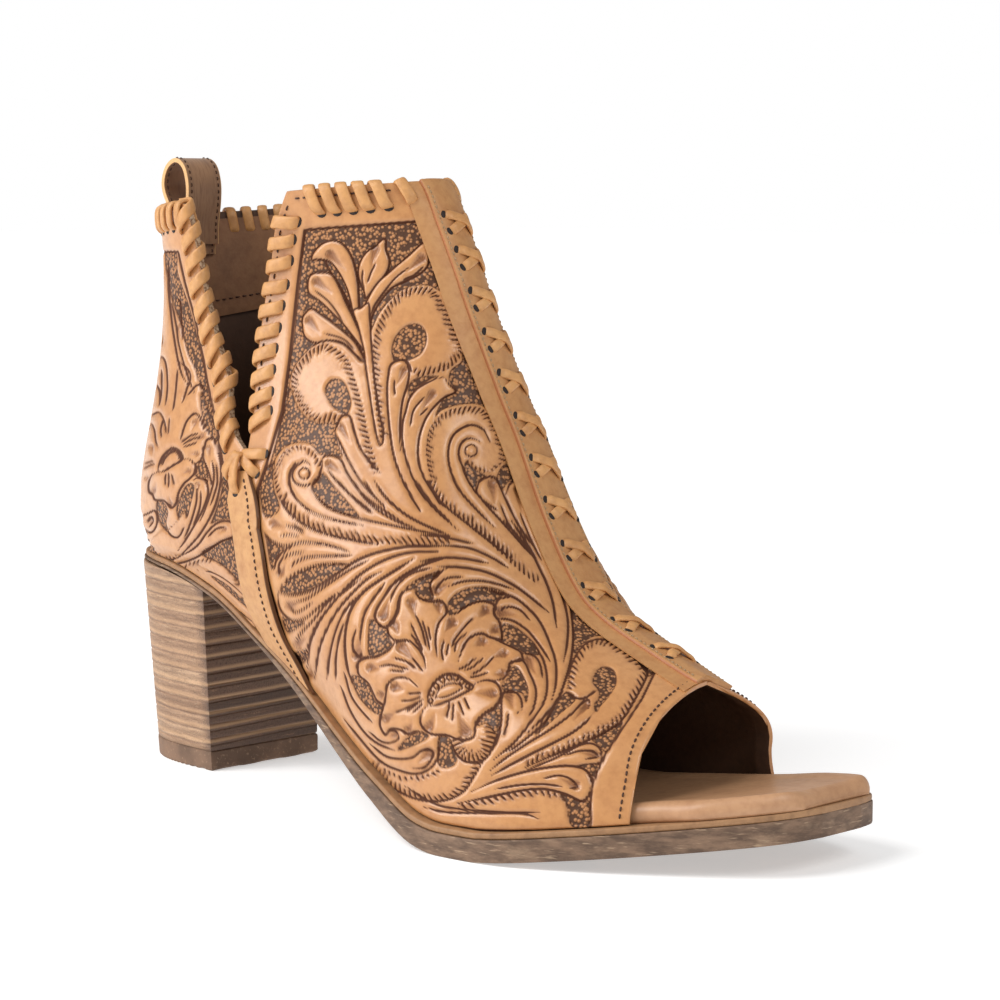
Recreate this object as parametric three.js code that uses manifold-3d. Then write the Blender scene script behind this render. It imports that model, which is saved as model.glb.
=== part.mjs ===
import * as THREE from 'three';
import { mergeVertices } from 'three/addons/utils/BufferGeometryUtils.js';
import Module from 'manifold-3d';

// Peep-toe heeled ankle boot, right foot. Units are mm, +X runs from heel to toe,
// +Y is the wearer's left (the inner side of this right shoe), +Z is up.
// The origin is the middle of the heel's resting face on the floor.

const wasm = await Module();
wasm.setup();

// Named sizes
const SOLE_LENGTH = 244.4;
const SOLE_BACK_X = -30.1;
const BALL_WIDTH = 79;
const HEEL_HEIGHT = 57.5;
const COLLAR_HEIGHT = 167;
const GAP = 0.3;
const WALL = 2;
const RIM_THICK = 1.4;
const HEEL_SEAT_THICK = 0.8;
const FOREFOOT_THICK = 5.8;
const UPPER_INSET = 2.6;
const TOE_SPRING = 9.3;
const TOE_SPRING_START = 0.72;
const TOE_SPRING_POWER = 1.1;

const HEEL_DEPTH = 39.6;
const HEEL_BASE_HALF = 19.2;
const HEEL_TOP_HALF = 23.4;
const HEEL_BREAST_LEAN = 1;
const HEEL_BACK_LEAN = 8.6;
const LIFT_THICK = 5.6;

const INSOLE_THICK = 4.6;
const INSOLE_INSET_COVERED = 7;
const INSOLE_INSET_TOE = 3.4;
const INSOLE_ROUND = 1.7;

const STRIP_THICK = 1;
const STRAP_THICK = 1.1;

// A monotone cubic through a short table, flat beyond both ends
function curve(xs, ys) {
  const n = xs.length;
  const h = [];
  const d = [];
  for (let i = 0; i < n - 1; i += 1) {
    h.push(xs[i + 1] - xs[i]);
    d.push((ys[i + 1] - ys[i]) / h[i]);
  }
  const m = new Array(n).fill(0);
  for (let i = 1; i < n - 1; i += 1) {
    if (d[i - 1] * d[i] > 0) {
      const w1 = 2 * h[i] + h[i - 1];
      const w2 = h[i] + 2 * h[i - 1];
      m[i] = (w1 + w2) / (w1 / d[i - 1] + w2 / d[i]);
    }
  }
  m[0] = endSlope(h[0], h[1], d[0], d[1]);
  m[n - 1] = endSlope(h[n - 2], h[n - 3], d[n - 2], d[n - 3]);
  return (x) => {
    if (x <= xs[0]) return ys[0];
    if (x >= xs[n - 1]) return ys[n - 1];
    let i = 0;
    while (x > xs[i + 1]) i += 1;
    const t = (x - xs[i]) / h[i];
    const a = (1 + 2 * t) * (1 - t) * (1 - t);
    const b = t * (1 - t) * (1 - t);
    const c = t * t * (3 - 2 * t);
    const e = t * t * (t - 1);
    return a * ys[i] + b * h[i] * m[i] + c * ys[i + 1] + e * h[i] * m[i + 1];
  };
}

function endSlope(h0, h1, d0, d1) {
  const s = ((2 * h0 + h1) * d0 - h0 * d1) / (h0 + h1);
  if (s * d0 <= 0) return 0;
  if (d0 * d1 <= 0 && Math.abs(s) > 3 * Math.abs(d0)) return 3 * d0;
  return s;
}

function columns(table, keys) {
  return keys.map((key) => table.map((row) => row[key]));
}

// Sole outline: s is the share of the sole length from the heel,
// outer and inner are the half widths on the two sides of the centre line, as shares of
// the ball width.
const OUTLINE = [
  { s: 0, outer: 0.0506, inner: 0.0506 },
  { s: 0.02, outer: 0.1671, inner: 0.1671 },
  { s: 0.06, outer: 0.2405, inner: 0.2405 },
  { s: 0.12, outer: 0.2861, inner: 0.2861 },
  { s: 0.2, outer: 0.3063, inner: 0.3038 },
  { s: 0.3, outer: 0.3316, inner: 0.3 },
  { s: 0.42, outer: 0.3924, inner: 0.2987 },
  { s: 0.55, outer: 0.4886, inner: 0.3494 },
  { s: 0.66, outer: 0.562, inner: 0.438 },
  { s: 0.74, outer: 0.5342, inner: 0.4797 },
  { s: 0.82, outer: 0.4228, inner: 0.4924 },
  { s: 0.9, outer: 0.2633, inner: 0.4835 },
  { s: 0.95, outer: 0.1418, inner: 0.4671 },
  { s: 0.98, outer: 0.043, inner: 0.438 },
  { s: 0.992, outer: -0.0253, inner: 0.4 },
  { s: 1, outer: -0.1139, inner: 0.3101 },
];
// Side profile of the sole's underside: height as a share of the heel height
const ARCH = [
  { s: 0, height: 1 },
  { s: 0.1, height: 0.9826 },
  { s: 0.2, height: 0.887 },
  { s: 0.3, height: 0.6957 },
  { s: 0.4, height: 0.487 },
  { s: 0.48, height: 0.2957 },
  { s: 0.55, height: 0.1478 },
  { s: 0.6, height: 0.0643 },
  { s: 0.64, height: 0.0174 },
  { s: 0.67, height: 0 },
];
// The outsole runs thin under the heel seat and grows to its full edge at the ball
const SOLE_EDGE = [
  { s: 0, share: 0 },
  { s: 0.27, share: 0.02 },
  { s: 0.37, share: 0.26 },
  { s: 0.47, share: 0.56 },
  { s: 0.55, share: 0.86 },
  { s: 0.6, share: 1 },
];
const outlineShare = columns(OUTLINE, ['s', 'outer', 'inner']);
const times = (values, size) => values.map((value) => value * size);
const outerHalf = curve(outlineShare[0], times(outlineShare[1], BALL_WIDTH));
const innerHalf = curve(outlineShare[0], times(outlineShare[2], BALL_WIDTH));
const archCols = columns(ARCH, ['s', 'height']);
const archHeight = curve(archCols[0], times(archCols[1], HEEL_HEIGHT));
const edgeCols = columns(SOLE_EDGE, ['s', 'share']);
const edgeShare = curve(edgeCols[0], edgeCols[1]);
const soleThick = (s) => HEEL_SEAT_THICK + (FOREFOOT_THICK - HEEL_SEAT_THICK) * edgeShare(s);

function underside(s) {
  if (s < TOE_SPRING_START) return archHeight(s);
  const u = (s - TOE_SPRING_START) / (1 - TOE_SPRING_START);
  return TOE_SPRING * u ** TOE_SPRING_POWER;
}

const shareAt = (x) => Math.min(Math.max((x - SOLE_BACK_X) / SOLE_LENGTH, 0), 1);
const outsoleTop = (s) => underside(s) + soleThick(s);
const rimTop = (s) => outsoleTop(s) + GAP + RIM_THICK;

// Fan of sections for the upper. Each row is one section plane, from the toe opening (w 0)
// round the instep to the collar (w 1). Up to the heel's back the section starts on the
// sole at foot_x; after it the section starts on the back line at back_x, back_z.
// Lengths along x are shares of the sole length from its back, widths are shares of the
// ball width, front_z is a share of the collar height and back_z of the height from the
// heel seat to the collar.
// front_x, front_z and ridge_y give the instep line; outer and inner are half widths.
const HEEL_TURN = 0.65;
const FOOT = [
  { w: 0, foot_x: 0.8662 },
  { w: 0.1, foot_x: 0.7778 },
  { w: 0.2, foot_x: 0.6796 },
  { w: 0.3, foot_x: 0.5732 },
  { w: 0.4, foot_x: 0.4587 },
  { w: 0.5, foot_x: 0.3196 },
  { w: 0.58, foot_x: 0.1641 },
  { w: 0.65, foot_x: 0.0115 },
];
const BACK = [
  { w: 0.65, back_x: 0.0115, back_z: 0 },
  { w: 0.72, back_x: 0.0078, back_z: 0.1565 },
  { w: 0.8, back_x: 0.0291, back_z: 0.3533 },
  { w: 0.87, back_x: 0.0499, back_z: 0.569 },
  { w: 0.94, back_x: 0.0552, back_z: 0.7657 },
  { w: 1, back_x: 0.0552, back_z: 0.9156 },
];
const FAN = [
  { w: 0, front_x: 0.8384, front_z: 0.2533, ridge_y: 0.157, outer: 0.2722, inner: 0.4886 },
  { w: 0.1, front_x: 0.7615, front_z: 0.2886, ridge_y: 0.1684, outer: 0.4506, inner: 0.4684 },
  { w: 0.2, front_x: 0.678, front_z: 0.3461, ridge_y: 0.1658, outer: 0.5316, inner: 0.4304 },
  { w: 0.3, front_x: 0.6182, front_z: 0.4635, ridge_y: 0.1646, outer: 0.5468, inner: 0.3595 },
  { w: 0.4, front_x: 0.5786, front_z: 0.5844, ridge_y: 0.157, outer: 0.5114, inner: 0.3266 },
  { w: 0.5, front_x: 0.552, front_z: 0.6743, ridge_y: 0.1329, outer: 0.4684, inner: 0.3291 },
  { w: 0.58, front_x: 0.5381, front_z: 0.7437, ridge_y: 0.1013, outer: 0.4266, inner: 0.3418 },
  { w: 0.65, front_x: 0.527, front_z: 0.7964, ridge_y: 0.081, outer: 0.3823, inner: 0.3456 },
  { w: 0.72, front_x: 0.5168, front_z: 0.8449, ridge_y: 0.0658, outer: 0.3494, inner: 0.3456 },
  { w: 0.8, front_x: 0.5016, front_z: 0.8988, ridge_y: 0.0557, outer: 0.319, inner: 0.3443 },
  { w: 0.87, front_x: 0.4873, front_z: 0.9443, ridge_y: 0.0481, outer: 0.3076, inner: 0.3468 },
  { w: 0.94, front_x: 0.475, front_z: 0.979, ridge_y: 0.0443, outer: 0.3165, inner: 0.3544 },
  { w: 1, front_x: 0.4636, front_z: 1, ridge_y: 0.0443, outer: 0.3329, inner: 0.3595 },
];
const INNER_FOOT_SHIFT = -9.8;
const INNER_SHIFT_REACH = 0.1;
const TURN_REACH = 0.02;
const WIDEST_AT = 0.36;
const LOWER_SHARE = 0.42;
const CROWN_POWER = 2 / 2.2;
// How much the sections near the toe opening narrow towards the ridge, on each side
const SLIM_OUTER = curve([0, 0.1, 0.25], [1.25, 1.1, 1]);
const SLIM_INNER = curve([0, 0.1, 0.25], [2.2, 1.6, 1]);
const BASE_FADE_MAX = 2.4;

const footCols = columns(FOOT, ['w', 'foot_x']);
const backCols = columns(BACK, ['w', 'back_x', 'back_z']);
const fanCols = columns(FAN, ['w', 'front_x', 'front_z', 'ridge_y', 'outer', 'inner']);
const along = (share) => SOLE_BACK_X + share * SOLE_LENGTH;
const footX = curve(footCols[0], footCols[1].map(along));
const backX = curve(backCols[0], backCols[1].map(along));
const seatZ = rimTop(backCols[1][0]) + GAP;
const backZ = curve(backCols[0], backCols[2].map((share) => seatZ + share * (COLLAR_HEIGHT - seatZ)));
const frontX = curve(fanCols[0], fanCols[1].map(along));
const frontZ = curve(fanCols[0], times(fanCols[2], COLLAR_HEIGHT));
const ridgeY = curve(fanCols[0], times(fanCols[3], BALL_WIDTH));
const outerWide = curve(fanCols[0], times(fanCols[4], BALL_WIDTH));
const innerWide = curve(fanCols[0], times(fanCols[5], BALL_WIDTH));

// Where a section starts: on the sole, and past the heel's back on the back line
function sectionStart(w, side) {
  const low = w <= HEEL_TURN;
  let x = low ? footX(w) : backX(w);
  if (side > 0) x += INNER_FOOT_SHIFT * Math.max(0, 1 - w / INNER_SHIFT_REACH);
  return [x, low ? rimTop(shareAt(x)) + GAP : backZ(w)];
}

// Away from the edge the start is averaged over its neighbours, so that the corner
// between sole and back line doesn't run up the upper as a crease.
const BLEND_WEIGHTS = [1, 3, 6, 7, 6, 3, 1];
const blendTotal = BLEND_WEIGHTS.reduce((sum, weight) => sum + weight, 0);
const BLEND_REACH = 0.1;
const BLEND_RISE = 0.12;
function softStart(w, rise, side) {
  const k = Math.min(rise / BLEND_RISE, 1);
  const reach = Math.min(BLEND_REACH * k * k * (3 - 2 * k), w, 1 - w);
  let x = 0;
  let z = 0;
  BLEND_WEIGHTS.forEach((weight, i) => {
    const at = Math.min(Math.max(w + (reach * (i - 3)) / 3, 0), 1);
    const [sx, sz] = sectionStart(at, side);
    x += (sx * weight) / blendTotal;
    z += (sz * weight) / blendTotal;
  });
  return [x, z];
}

// Point of the upper's outer face. side -1 is the outer side, +1 the inner side;
// t runs from the sole or back line (0) to the instep ridge (1).
function upperPoint(w, t, side) {
  const s = shareAt(sectionStart(w, side)[0]);
  const half = (side < 0 ? outerHalf(s) : innerHalf(s)) - UPPER_INSET;
  const turn = Math.sqrt(Math.min(Math.max((HEEL_TURN - w) / TURN_REACH, 0), 1));
  const base = w <= HEEL_TURN ? Math.max(half, 0) * turn : 0;
  const wide = side < 0 ? outerWide(w) : innerWide(w);
  const lower = Math.min(t / LOWER_SHARE, 1) * Math.PI / 2;
  const upper = Math.max((t - LOWER_SHARE) / (1 - LOWER_SHARE), 0) * Math.PI / 2;
  const rise = WIDEST_AT * (1 - Math.cos(lower)) + (1 - WIDEST_AT) * Math.sin(upper) ** CROWN_POWER;
  const fade = Math.min(BASE_FADE_MAX, wide / Math.max(base, 1e-6));
  const slim = side < 0 ? SLIM_OUTER(w) : SLIM_INNER(w);
  const reach = upper > 0
    ? wide * Math.max(Math.cos(upper), 0) ** slim
    : wide * Math.sin(lower) + base * Math.max(1 - Math.sin(lower), 0) ** fade;
  const [x0, z0] = softStart(w, rise, side);
  return [
    x0 + (frontX(w) - x0) * rise,
    side * reach + ridgeY(w) * rise ** 1.5,
    z0 + (frontZ(w) - z0) * rise,
  ];
}

const sub = (a, b) => [a[0] - b[0], a[1] - b[1], a[2] - b[2]];
const add = (a, b, k) => [a[0] + b[0] * k, a[1] + b[1] * k, a[2] + b[2] * k];
const cross = (a, b) => [a[1] * b[2] - a[2] * b[1], a[2] * b[0] - a[0] * b[2], a[0] * b[1] - a[1] * b[0]];
const length = (a) => Math.hypot(a[0], a[1], a[2]);
const unit = (a) => {
  const l = length(a) || 1;
  return [a[0] / l, a[1] / l, a[2] / l];
};

const STEP = 0.012;
// Outward direction of the upper's face
function upperNormal(w, t, side) {
  const w1 = Math.min(w + STEP, 1);
  const w0 = Math.max(w - STEP, 0);
  const t1 = Math.min(t + STEP, 1);
  const t0 = Math.max(t - STEP, 0);
  const along = sub(upperPoint(w1, t, side), upperPoint(w0, t, side));
  let across = sub(upperPoint(w, t1, side), upperPoint(w, t0, side));
  if (t > 0.999) {
    across = sub(upperPoint(w, 1 - STEP, -side), upperPoint(w, 1 - STEP, side));
  }
  const n = unit(cross(along, across));
  return side < 0 ? [-n[0], -n[1], -n[2]] : n;
}

// Buffer helpers
function solidFrom(points, faces) {
  const geometry = new THREE.BufferGeometry();
  geometry.setAttribute('position', new THREE.Float32BufferAttribute(points.flat(), 3));
  geometry.setIndex(faces.flat());
  const merged = mergeVertices(geometry, 1e-4);
  const index = [];
  const src = merged.index.array;
  for (let i = 0; i < src.length; i += 3) {
    const a = src[i];
    const b = src[i + 1];
    const c = src[i + 2];
    if (a !== b && b !== c && a !== c) index.push(a, b, c);
  }
  merged.setIndex(index);
  if (volumeOf(merged) < 0) {
    for (let i = 0; i < index.length; i += 3) {
      const keep = index[i + 1];
      index[i + 1] = index[i + 2];
      index[i + 2] = keep;
    }
    merged.setIndex(index);
  }
  return merged;
}

function volumeOf(geometry) {
  const p = geometry.attributes.position.array;
  const f = geometry.index.array;
  let v = 0;
  for (let i = 0; i < f.length; i += 3) {
    const a = [p[f[i] * 3], p[f[i] * 3 + 1], p[f[i] * 3 + 2]];
    const b = [p[f[i + 1] * 3], p[f[i + 1] * 3 + 1], p[f[i + 1] * 3 + 2]];
    const c = [p[f[i + 2] * 3], p[f[i + 2] * 3 + 1], p[f[i + 2] * 3 + 2]];
    const n = cross(b, c);
    v += a[0] * n[0] + a[1] * n[1] + a[2] * n[2];
  }
  return v / 6;
}

// Closed loft through rings of equal count, capped flat or by its own middle line
function loft(rings, capPairs) {
  const n = rings[0].length;
  const points = rings.flat();
  const faces = [];
  for (let r = 0; r < rings.length - 1; r += 1) {
    for (let i = 0; i < n; i += 1) {
      const j = (i + 1) % n;
      const a = r * n + i;
      const b = r * n + j;
      faces.push([a, b, b + n], [a, b + n, a + n]);
    }
  }
  const last = (rings.length - 1) * n;
  if (capPairs) {
    // rings are near/far mirrored lists: close them as a ladder
    for (let i = 0; i < n / 2 - 1; i += 1) {
      const a = i;
      const b = i + 1;
      const c = n - 2 - i;
      const d = n - 1 - i;
      faces.push([a, d, c], [a, c, b]);
      faces.push([last + a, last + c, last + d], [last + a, last + b, last + c]);
    }
  } else {
    for (let i = 1; i < n - 1; i += 1) {
      faces.push([0, i + 1, i]);
      faces.push([last, last + i, last + i + 1]);
    }
  }
  return solidFrom(points, faces);
}

function toManifold(geometry) {
  return new wasm.Manifold(new wasm.Mesh({
    numProp: 3,
    vertProperties: new Float32Array(geometry.attributes.position.array),
    triVerts: new Uint32Array(geometry.index.array),
  }));
}

function fromManifold(solid) {
  const mesh = solid.getMesh();
  const geometry = new THREE.BufferGeometry();
  geometry.setAttribute('position', new THREE.BufferAttribute(new Float32Array(mesh.vertProperties), 3));
  geometry.setIndex(new THREE.BufferAttribute(new Uint32Array(mesh.triVerts), 1));
  return geometry;
}

// Plan rings of the sole, as near side then far side at the same shares
const PLAN_SHARES = [];
const PLAN_STEPS = 44;
for (let i = 0; i <= PLAN_STEPS; i += 1) {
  PLAN_SHARES.push(0.5 - 0.5 * Math.cos((Math.PI * i) / PLAN_STEPS));
}
const FLAT_SHARES = [0.67, TOE_SPRING_START];
PLAN_SHARES.push(...FLAT_SHARES);
PLAN_SHARES.sort((a, b) => a - b);

function planRing(inset, height, from, to) {
  const near = [];
  const far = [];
  for (const q of PLAN_SHARES) {
    const s = from + (to - from) * q;
    const cut = typeof inset === 'function' ? inset(s) : inset;
    const mid = (innerHalf(s) - outerHalf(s)) / 2;
    const half = Math.max((innerHalf(s) + outerHalf(s)) / 2 - cut, 0.6);
    const x = SOLE_BACK_X + s * SOLE_LENGTH;
    const z = height(s);
    near.push([x, mid - half, z]);
    far.push([x, mid + half, z]);
  }
  return near.concat(far.reverse());
}

function soleLayer(inset, lower, upper) {
  return loft([planRing(inset, lower, 0, 1), planRing(inset, upper, 0, 1)], true);
}

// Sole pieces
const OUTSOLE_INSET = 0;
const RIM_INSET = 0.5;
const outsole = soleLayer(OUTSOLE_INSET, underside, outsoleTop);
const midsole = soleLayer(RIM_INSET, (s) => outsoleTop(s) + GAP, rimTop);

// Insole: a pad with rolled edges, narrower where the upper stands over it
const insoleInset = curve([0, 0.882, 0.91, 1], [INSOLE_INSET_COVERED, INSOLE_INSET_COVERED, INSOLE_INSET_TOE, INSOLE_INSET_TOE]);
const INSOLE_FROM = 0.05;
const INSOLE_TO = 0.984;
const INSOLE_LAYERS = [
  { lift: 0, tuck: 0.7 },
  { lift: 0.25, tuck: 0 },
  { lift: 0.62, tuck: 0 },
  { lift: 0.88, tuck: 0.45 },
  { lift: 1, tuck: 1.4 },
];
const insole = loft(INSOLE_LAYERS.map(({ lift, tuck }) => {
  const pull = tuck * INSOLE_ROUND;
  return planRing(
    (s) => insoleInset(s) + pull,
    (s) => rimTop(s) + GAP + lift * INSOLE_THICK,
    INSOLE_FROM + pull / SOLE_LENGTH,
    INSOLE_TO - pull / SOLE_LENGTH,
  );
}), true);

// Heel: D shaped plan, flat breast towards the toe, round at the back
const HEEL_SIDES = 14;
const HEEL_ROUND_X = 0.62;
const HEEL_ROUND_Y = 0.86;
const SEAT_SHARE = 0.14;
const HEEL_SEAT = archHeight(SEAT_SHARE);
function heelRing(z, topLimit) {
  const k = z / HEEL_SEAT;
  const breast = HEEL_DEPTH / 2 - HEEL_BREAST_LEAN * k;
  const back = -HEEL_DEPTH / 2 - HEEL_BACK_LEAN * k;
  const half = HEEL_BASE_HALF + (HEEL_TOP_HALF - HEEL_BASE_HALF) * k;
  const ring = [];
  for (let i = 0; i <= HEEL_SIDES; i += 1) {
    const a = (i / HEEL_SIDES) * Math.PI / 2;
    const x = breast - (breast - back) * Math.sin(a) ** HEEL_ROUND_X;
    const y = half * Math.cos(a) ** HEEL_ROUND_Y;
    ring.push([x, -y]);
  }
  const mirrored = ring.slice(0, -1).reverse().map(([x, y]) => [x, -y]);
  return ring.concat(mirrored).map(([x, y]) => [x, y, topLimit ? underside(shareAt(x)) - GAP : z]);
}
const heelLift = loft([heelRing(0), heelRing(LIFT_THICK)]);
// The stack's top follows the seat of the sole, so its last ring is raised to it
const heel = loft([heelRing(LIFT_THICK + GAP), heelRing(HEEL_HEIGHT / 2), heelRing(HEEL_SEAT, true)], true);

// Upper shell
const ROWS = [];
const ROW_COUNT = 38;
for (let i = 0; i <= ROW_COUNT; i += 1) ROWS.push(i / ROW_COUNT);
const TURN_ROWS = [0.015, 0.0098, 0.0065, 0.0042, 0.0025, 0.0012, 0.0004, 0];
for (const back of TURN_ROWS) ROWS.push(HEEL_TURN - back);
ROWS.sort((a, b) => a - b);
for (let i = ROWS.length - 1; i > 0; i -= 1) {
  if (ROWS[i] - ROWS[i - 1] < 1e-6) ROWS.splice(i, 1);
}
const COLS = 22;

function upperShell() {
  const outer = [];
  const inner = [];
  for (const w of ROWS) {
    const rowOut = [];
    const rowIn = [];
    for (let j = 0; j <= 2 * COLS; j += 1) {
      const side = j <= COLS ? -1 : 1;
      const t = j <= COLS ? j / COLS : (2 * COLS - j) / COLS;
      const p = upperPoint(w, t, side);
      let n = upperNormal(w, t, side);
      if (t === 0 && w <= HEEL_TURN) {
        n = unit([n[0], n[1], 0]);
      }
      if (t === 0 && w >= HEEL_TURN - 1e-9) {
        n = unit([-1, 0, w > HEEL_TURN + 1e-9 ? 0.1 : 0]);
      }
      const q = add(p, n, -WALL);
      if (t === 0 && w <= HEEL_TURN) q[2] = rimTop(shareAt(q[0])) + GAP;
      rowOut.push(p);
      rowIn.push(q);
    }
    outer.push(rowOut);
    inner.push(rowIn);
  }
  const n = 2 * COLS + 1;
  const total = ROWS.length * n;
  const points = outer.flat().concat(inner.flat());
  const faces = [];
  for (let r = 0; r < ROWS.length - 1; r += 1) {
    for (let j = 0; j < n - 1; j += 1) {
      const a = r * n + j;
      const b = a + 1;
      const c = b + n;
      const d = a + n;
      faces.push([a, b, c], [a, c, d]);
      faces.push([total + a, total + c, total + b], [total + a, total + d, total + c]);
    }
  }
  const edge = (a, b) => faces.push([a, total + b, b], [a, total + a, total + b]);
  for (let j = 0; j < n - 1; j += 1) {
    edge(j, j + 1);
    const top = (ROWS.length - 1) * n;
    edge(top + j + 1, top + j);
  }
  for (let r = 0; r < ROWS.length - 1; r += 1) {
    if (ROWS[r + 1] > HEEL_TURN + 1e-9) continue;
    edge((r + 1) * n, r * n);
    edge(r * n + n - 1, (r + 1) * n + n - 1);
  }
  return solidFrom(points, faces);
}

// V notch in each side, drawn in the side view
const NOTCH = [
  { z: 0.5599, back: 0.2926, front: 0.2946 },
  { z: 0.6108, back: 0.2721, front: 0.2909 },
  { z: 0.6617, back: 0.2512, front: 0.293 },
  { z: 0.7545, back: 0.2189, front: 0.2946 },
  { z: 0.8503, back: 0.1989, front: 0.3065 },
  { z: 0.9162, back: 0.1878, front: 0.3163 },
  { z: 0.9461, back: 0.1825, front: 0.3228 },
  { z: 1.0299, back: 0.1702, front: 0.3466 },
];
function notchCutter(y0, y1) {
  const ring = NOTCH.map(({ z, back }) => [along(back), z * COLLAR_HEIGHT]);
  const other = NOTCH.map(({ z, front }) => [along(front), z * COLLAR_HEIGHT]).reverse();
  const plan = ring.concat(other);
  return toManifold(loft([
    plan.map(([x, z]) => [x, y0, z]),
    plan.map(([x, z]) => [x, y1, z]),
  ], true));
}
const NOTCH_KEEP = 6;
const cutOuter = notchCutter(-BALL_WIDTH, -NOTCH_KEEP);
const cutInner = notchCutter(NOTCH_KEEP, BALL_WIDTH);
const shell = fromManifold(toManifold(upperShell()).subtract(cutOuter).subtract(cutInner));

// A band on the upper between two sheets of its own surface.
// Each row gives w, the two edges as t on a side, or past the ridge on the other side.
function surfaceAt(w, q) {
  return q <= 1 ? [w, q, -1] : [w, 2 - q, 1];
}

function clearOfRim(p) {
  return [p[0], p[1], Math.max(p[2], rimTop(shareAt(p[0])) + GAP)];
}

function band(rows, across, under, thick) {
  const rings = [];
  for (const row of rows) {
    const low = [];
    const high = [];
    for (let j = 0; j <= across; j += 1) {
      const k = j / across;
      const w = row.w0 + (row.w1 - row.w0) * k;
      const q = row.q0 + (row.q1 - row.q0) * k;
      const [ww, t, side] = surfaceAt(w, q);
      const p = upperPoint(ww, t, side);
      const n = upperNormal(ww, t, side);
      low.push(clearOfRim(add(p, n, under)));
      high.push(clearOfRim(add(p, n, under + thick)));
    }
    rings.push(low.concat(high.reverse()));
  }
  return loft(rings, true);
}

// t on the given side where the arc length from the ridge reaches the given distance
function tAtArc(w, side, distance) {
  const steps = 120;
  let last = upperPoint(w, 1, side);
  let sum = 0;
  for (let i = 1; i <= steps; i += 1) {
    const t = 1 - (i / steps) * 0.6;
    const p = upperPoint(w, t, side);
    const d = length(sub(p, last));
    if (sum + d >= distance) return t + ((sum + d - distance) / d) * (0.6 / steps);
    sum += d;
    last = p;
  }
  return 0.4;
}

// Instep strip over the ridge, from the toe opening to the collar
const STRIP_HALF = 9.4;
const STRIP_ROWS = 44;
const stripRows = [];
for (let i = 0; i <= STRIP_ROWS; i += 1) {
  const w = 0.002 + (0.996 * i) / STRIP_ROWS;
  stripRows.push({
    w0: w,
    w1: w,
    q0: tAtArc(w, -1, STRIP_HALF),
    q1: 2 - tAtArc(w, 1, STRIP_HALF),
  });
}
const frontStrip = band(stripRows, 8, GAP, STRIP_THICK);

// Side strap on each side: w and t of its back and front edges down from the notch
const STRAP = [
  { back_w: 0.611, back_t: 0.447, front_w: 0.597, front_t: 0.467 },
  { back_w: 0.579, back_t: 0.407, front_w: 0.557, front_t: 0.432 },
  { back_w: 0.551, back_t: 0.349, front_w: 0.528, front_t: 0.386 },
  { back_w: 0.529, back_t: 0.259, front_w: 0.503, front_t: 0.312 },
  { back_w: 0.515, back_t: 0.166, front_w: 0.481, front_t: 0.226 },
  { back_w: 0.501, back_t: 0.06, front_w: 0.457, front_t: 0.13 },
  { back_w: 0.492, back_t: 0.004, front_w: 0.432, front_t: 0.004 },
];
const strapStations = STRAP.map((row, i) => i / (STRAP.length - 1));
const strapCols = columns(STRAP, ['back_w', 'back_t', 'front_w', 'front_t']).map((c) => curve(strapStations, c));
const STRAP_ROWS = 22;
function strap(side) {
  const rows = [];
  for (let i = 0; i <= STRAP_ROWS; i += 1) {
    const u = i / STRAP_ROWS;
    const tb = strapCols[1](u);
    const tf = strapCols[3](u);
    rows.push({
      w0: strapCols[0](u),
      w1: strapCols[2](u),
      q0: side < 0 ? tb : 2 - tb,
      q1: side < 0 ? tf : 2 - tf,
    });
  }
  return band(rows, 5, GAP, STRAP_THICK);
}
const strapOuter = strap(-1);
const strapInner = strap(1);

// Pull loop at the back: a folded ribbon, hooked over the back edge of the collar
const LOOP_HALF = 7;
const LOOP_THICK = 1.2;
const LOOP_DEPTH = 11.2;
const LOOP_HEIGHT = 19.6;
// The ribbon's middle line, out from the collar's back edge and up, as shares of the loop
const LOOP_PATH = [
  { out: 0.3839, up: -0.4082 },
  { out: 0.3839, up: -0.051 },
  { out: 0.2857, up: 0.1531 },
  { out: -0.0357, up: 0.3776 },
  { out: -0.1964, up: 0.6327 },
  { out: -0.0268, up: 0.8673 },
  { out: 0.3304, up: 0.9694 },
  { out: 0.6518, up: 0.8673 },
  { out: 0.8036, up: 0.6327 },
  { out: 0.75, up: 0.3571 },
  { out: 0.6071, up: 0.1276 },
  { out: 0.5268, up: -0.051 },
  { out: 0.5268, up: -0.4082 },
];
const loopStations = LOOP_PATH.map((row, i) => i / (LOOP_PATH.length - 1));
const loopX = curve(loopStations, LOOP_PATH.map((row) => backX(1) + row.out * LOOP_DEPTH));
const loopZ = curve(loopStations, LOOP_PATH.map((row) => backZ(1) + row.up * LOOP_HEIGHT));
const LOOP_ROWS = 36;
function pullLoop() {
  const rings = [];
  for (let i = 0; i <= LOOP_ROWS; i += 1) {
    const u = i / LOOP_ROWS;
    const a = [loopX(Math.max(u - 0.01, 0)), loopZ(Math.max(u - 0.01, 0))];
    const b = [loopX(Math.min(u + 0.01, 1)), loopZ(Math.min(u + 0.01, 1))];
    const l = Math.hypot(b[0] - a[0], b[1] - a[1]);
    const nx = -(b[1] - a[1]) / l;
    const nz = (b[0] - a[0]) / l;
    const h = LOOP_THICK / 2;
    const x = loopX(u);
    const z = loopZ(u);
    rings.push([
      [x - nx * h, -LOOP_HALF, z - nz * h],
      [x + nx * h, -LOOP_HALF, z + nz * h],
      [x + nx * h, LOOP_HALF, z + nz * h],
      [x - nx * h, LOOP_HALF, z - nz * h],
    ]);
  }
  return loft(rings, true);
}

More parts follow.
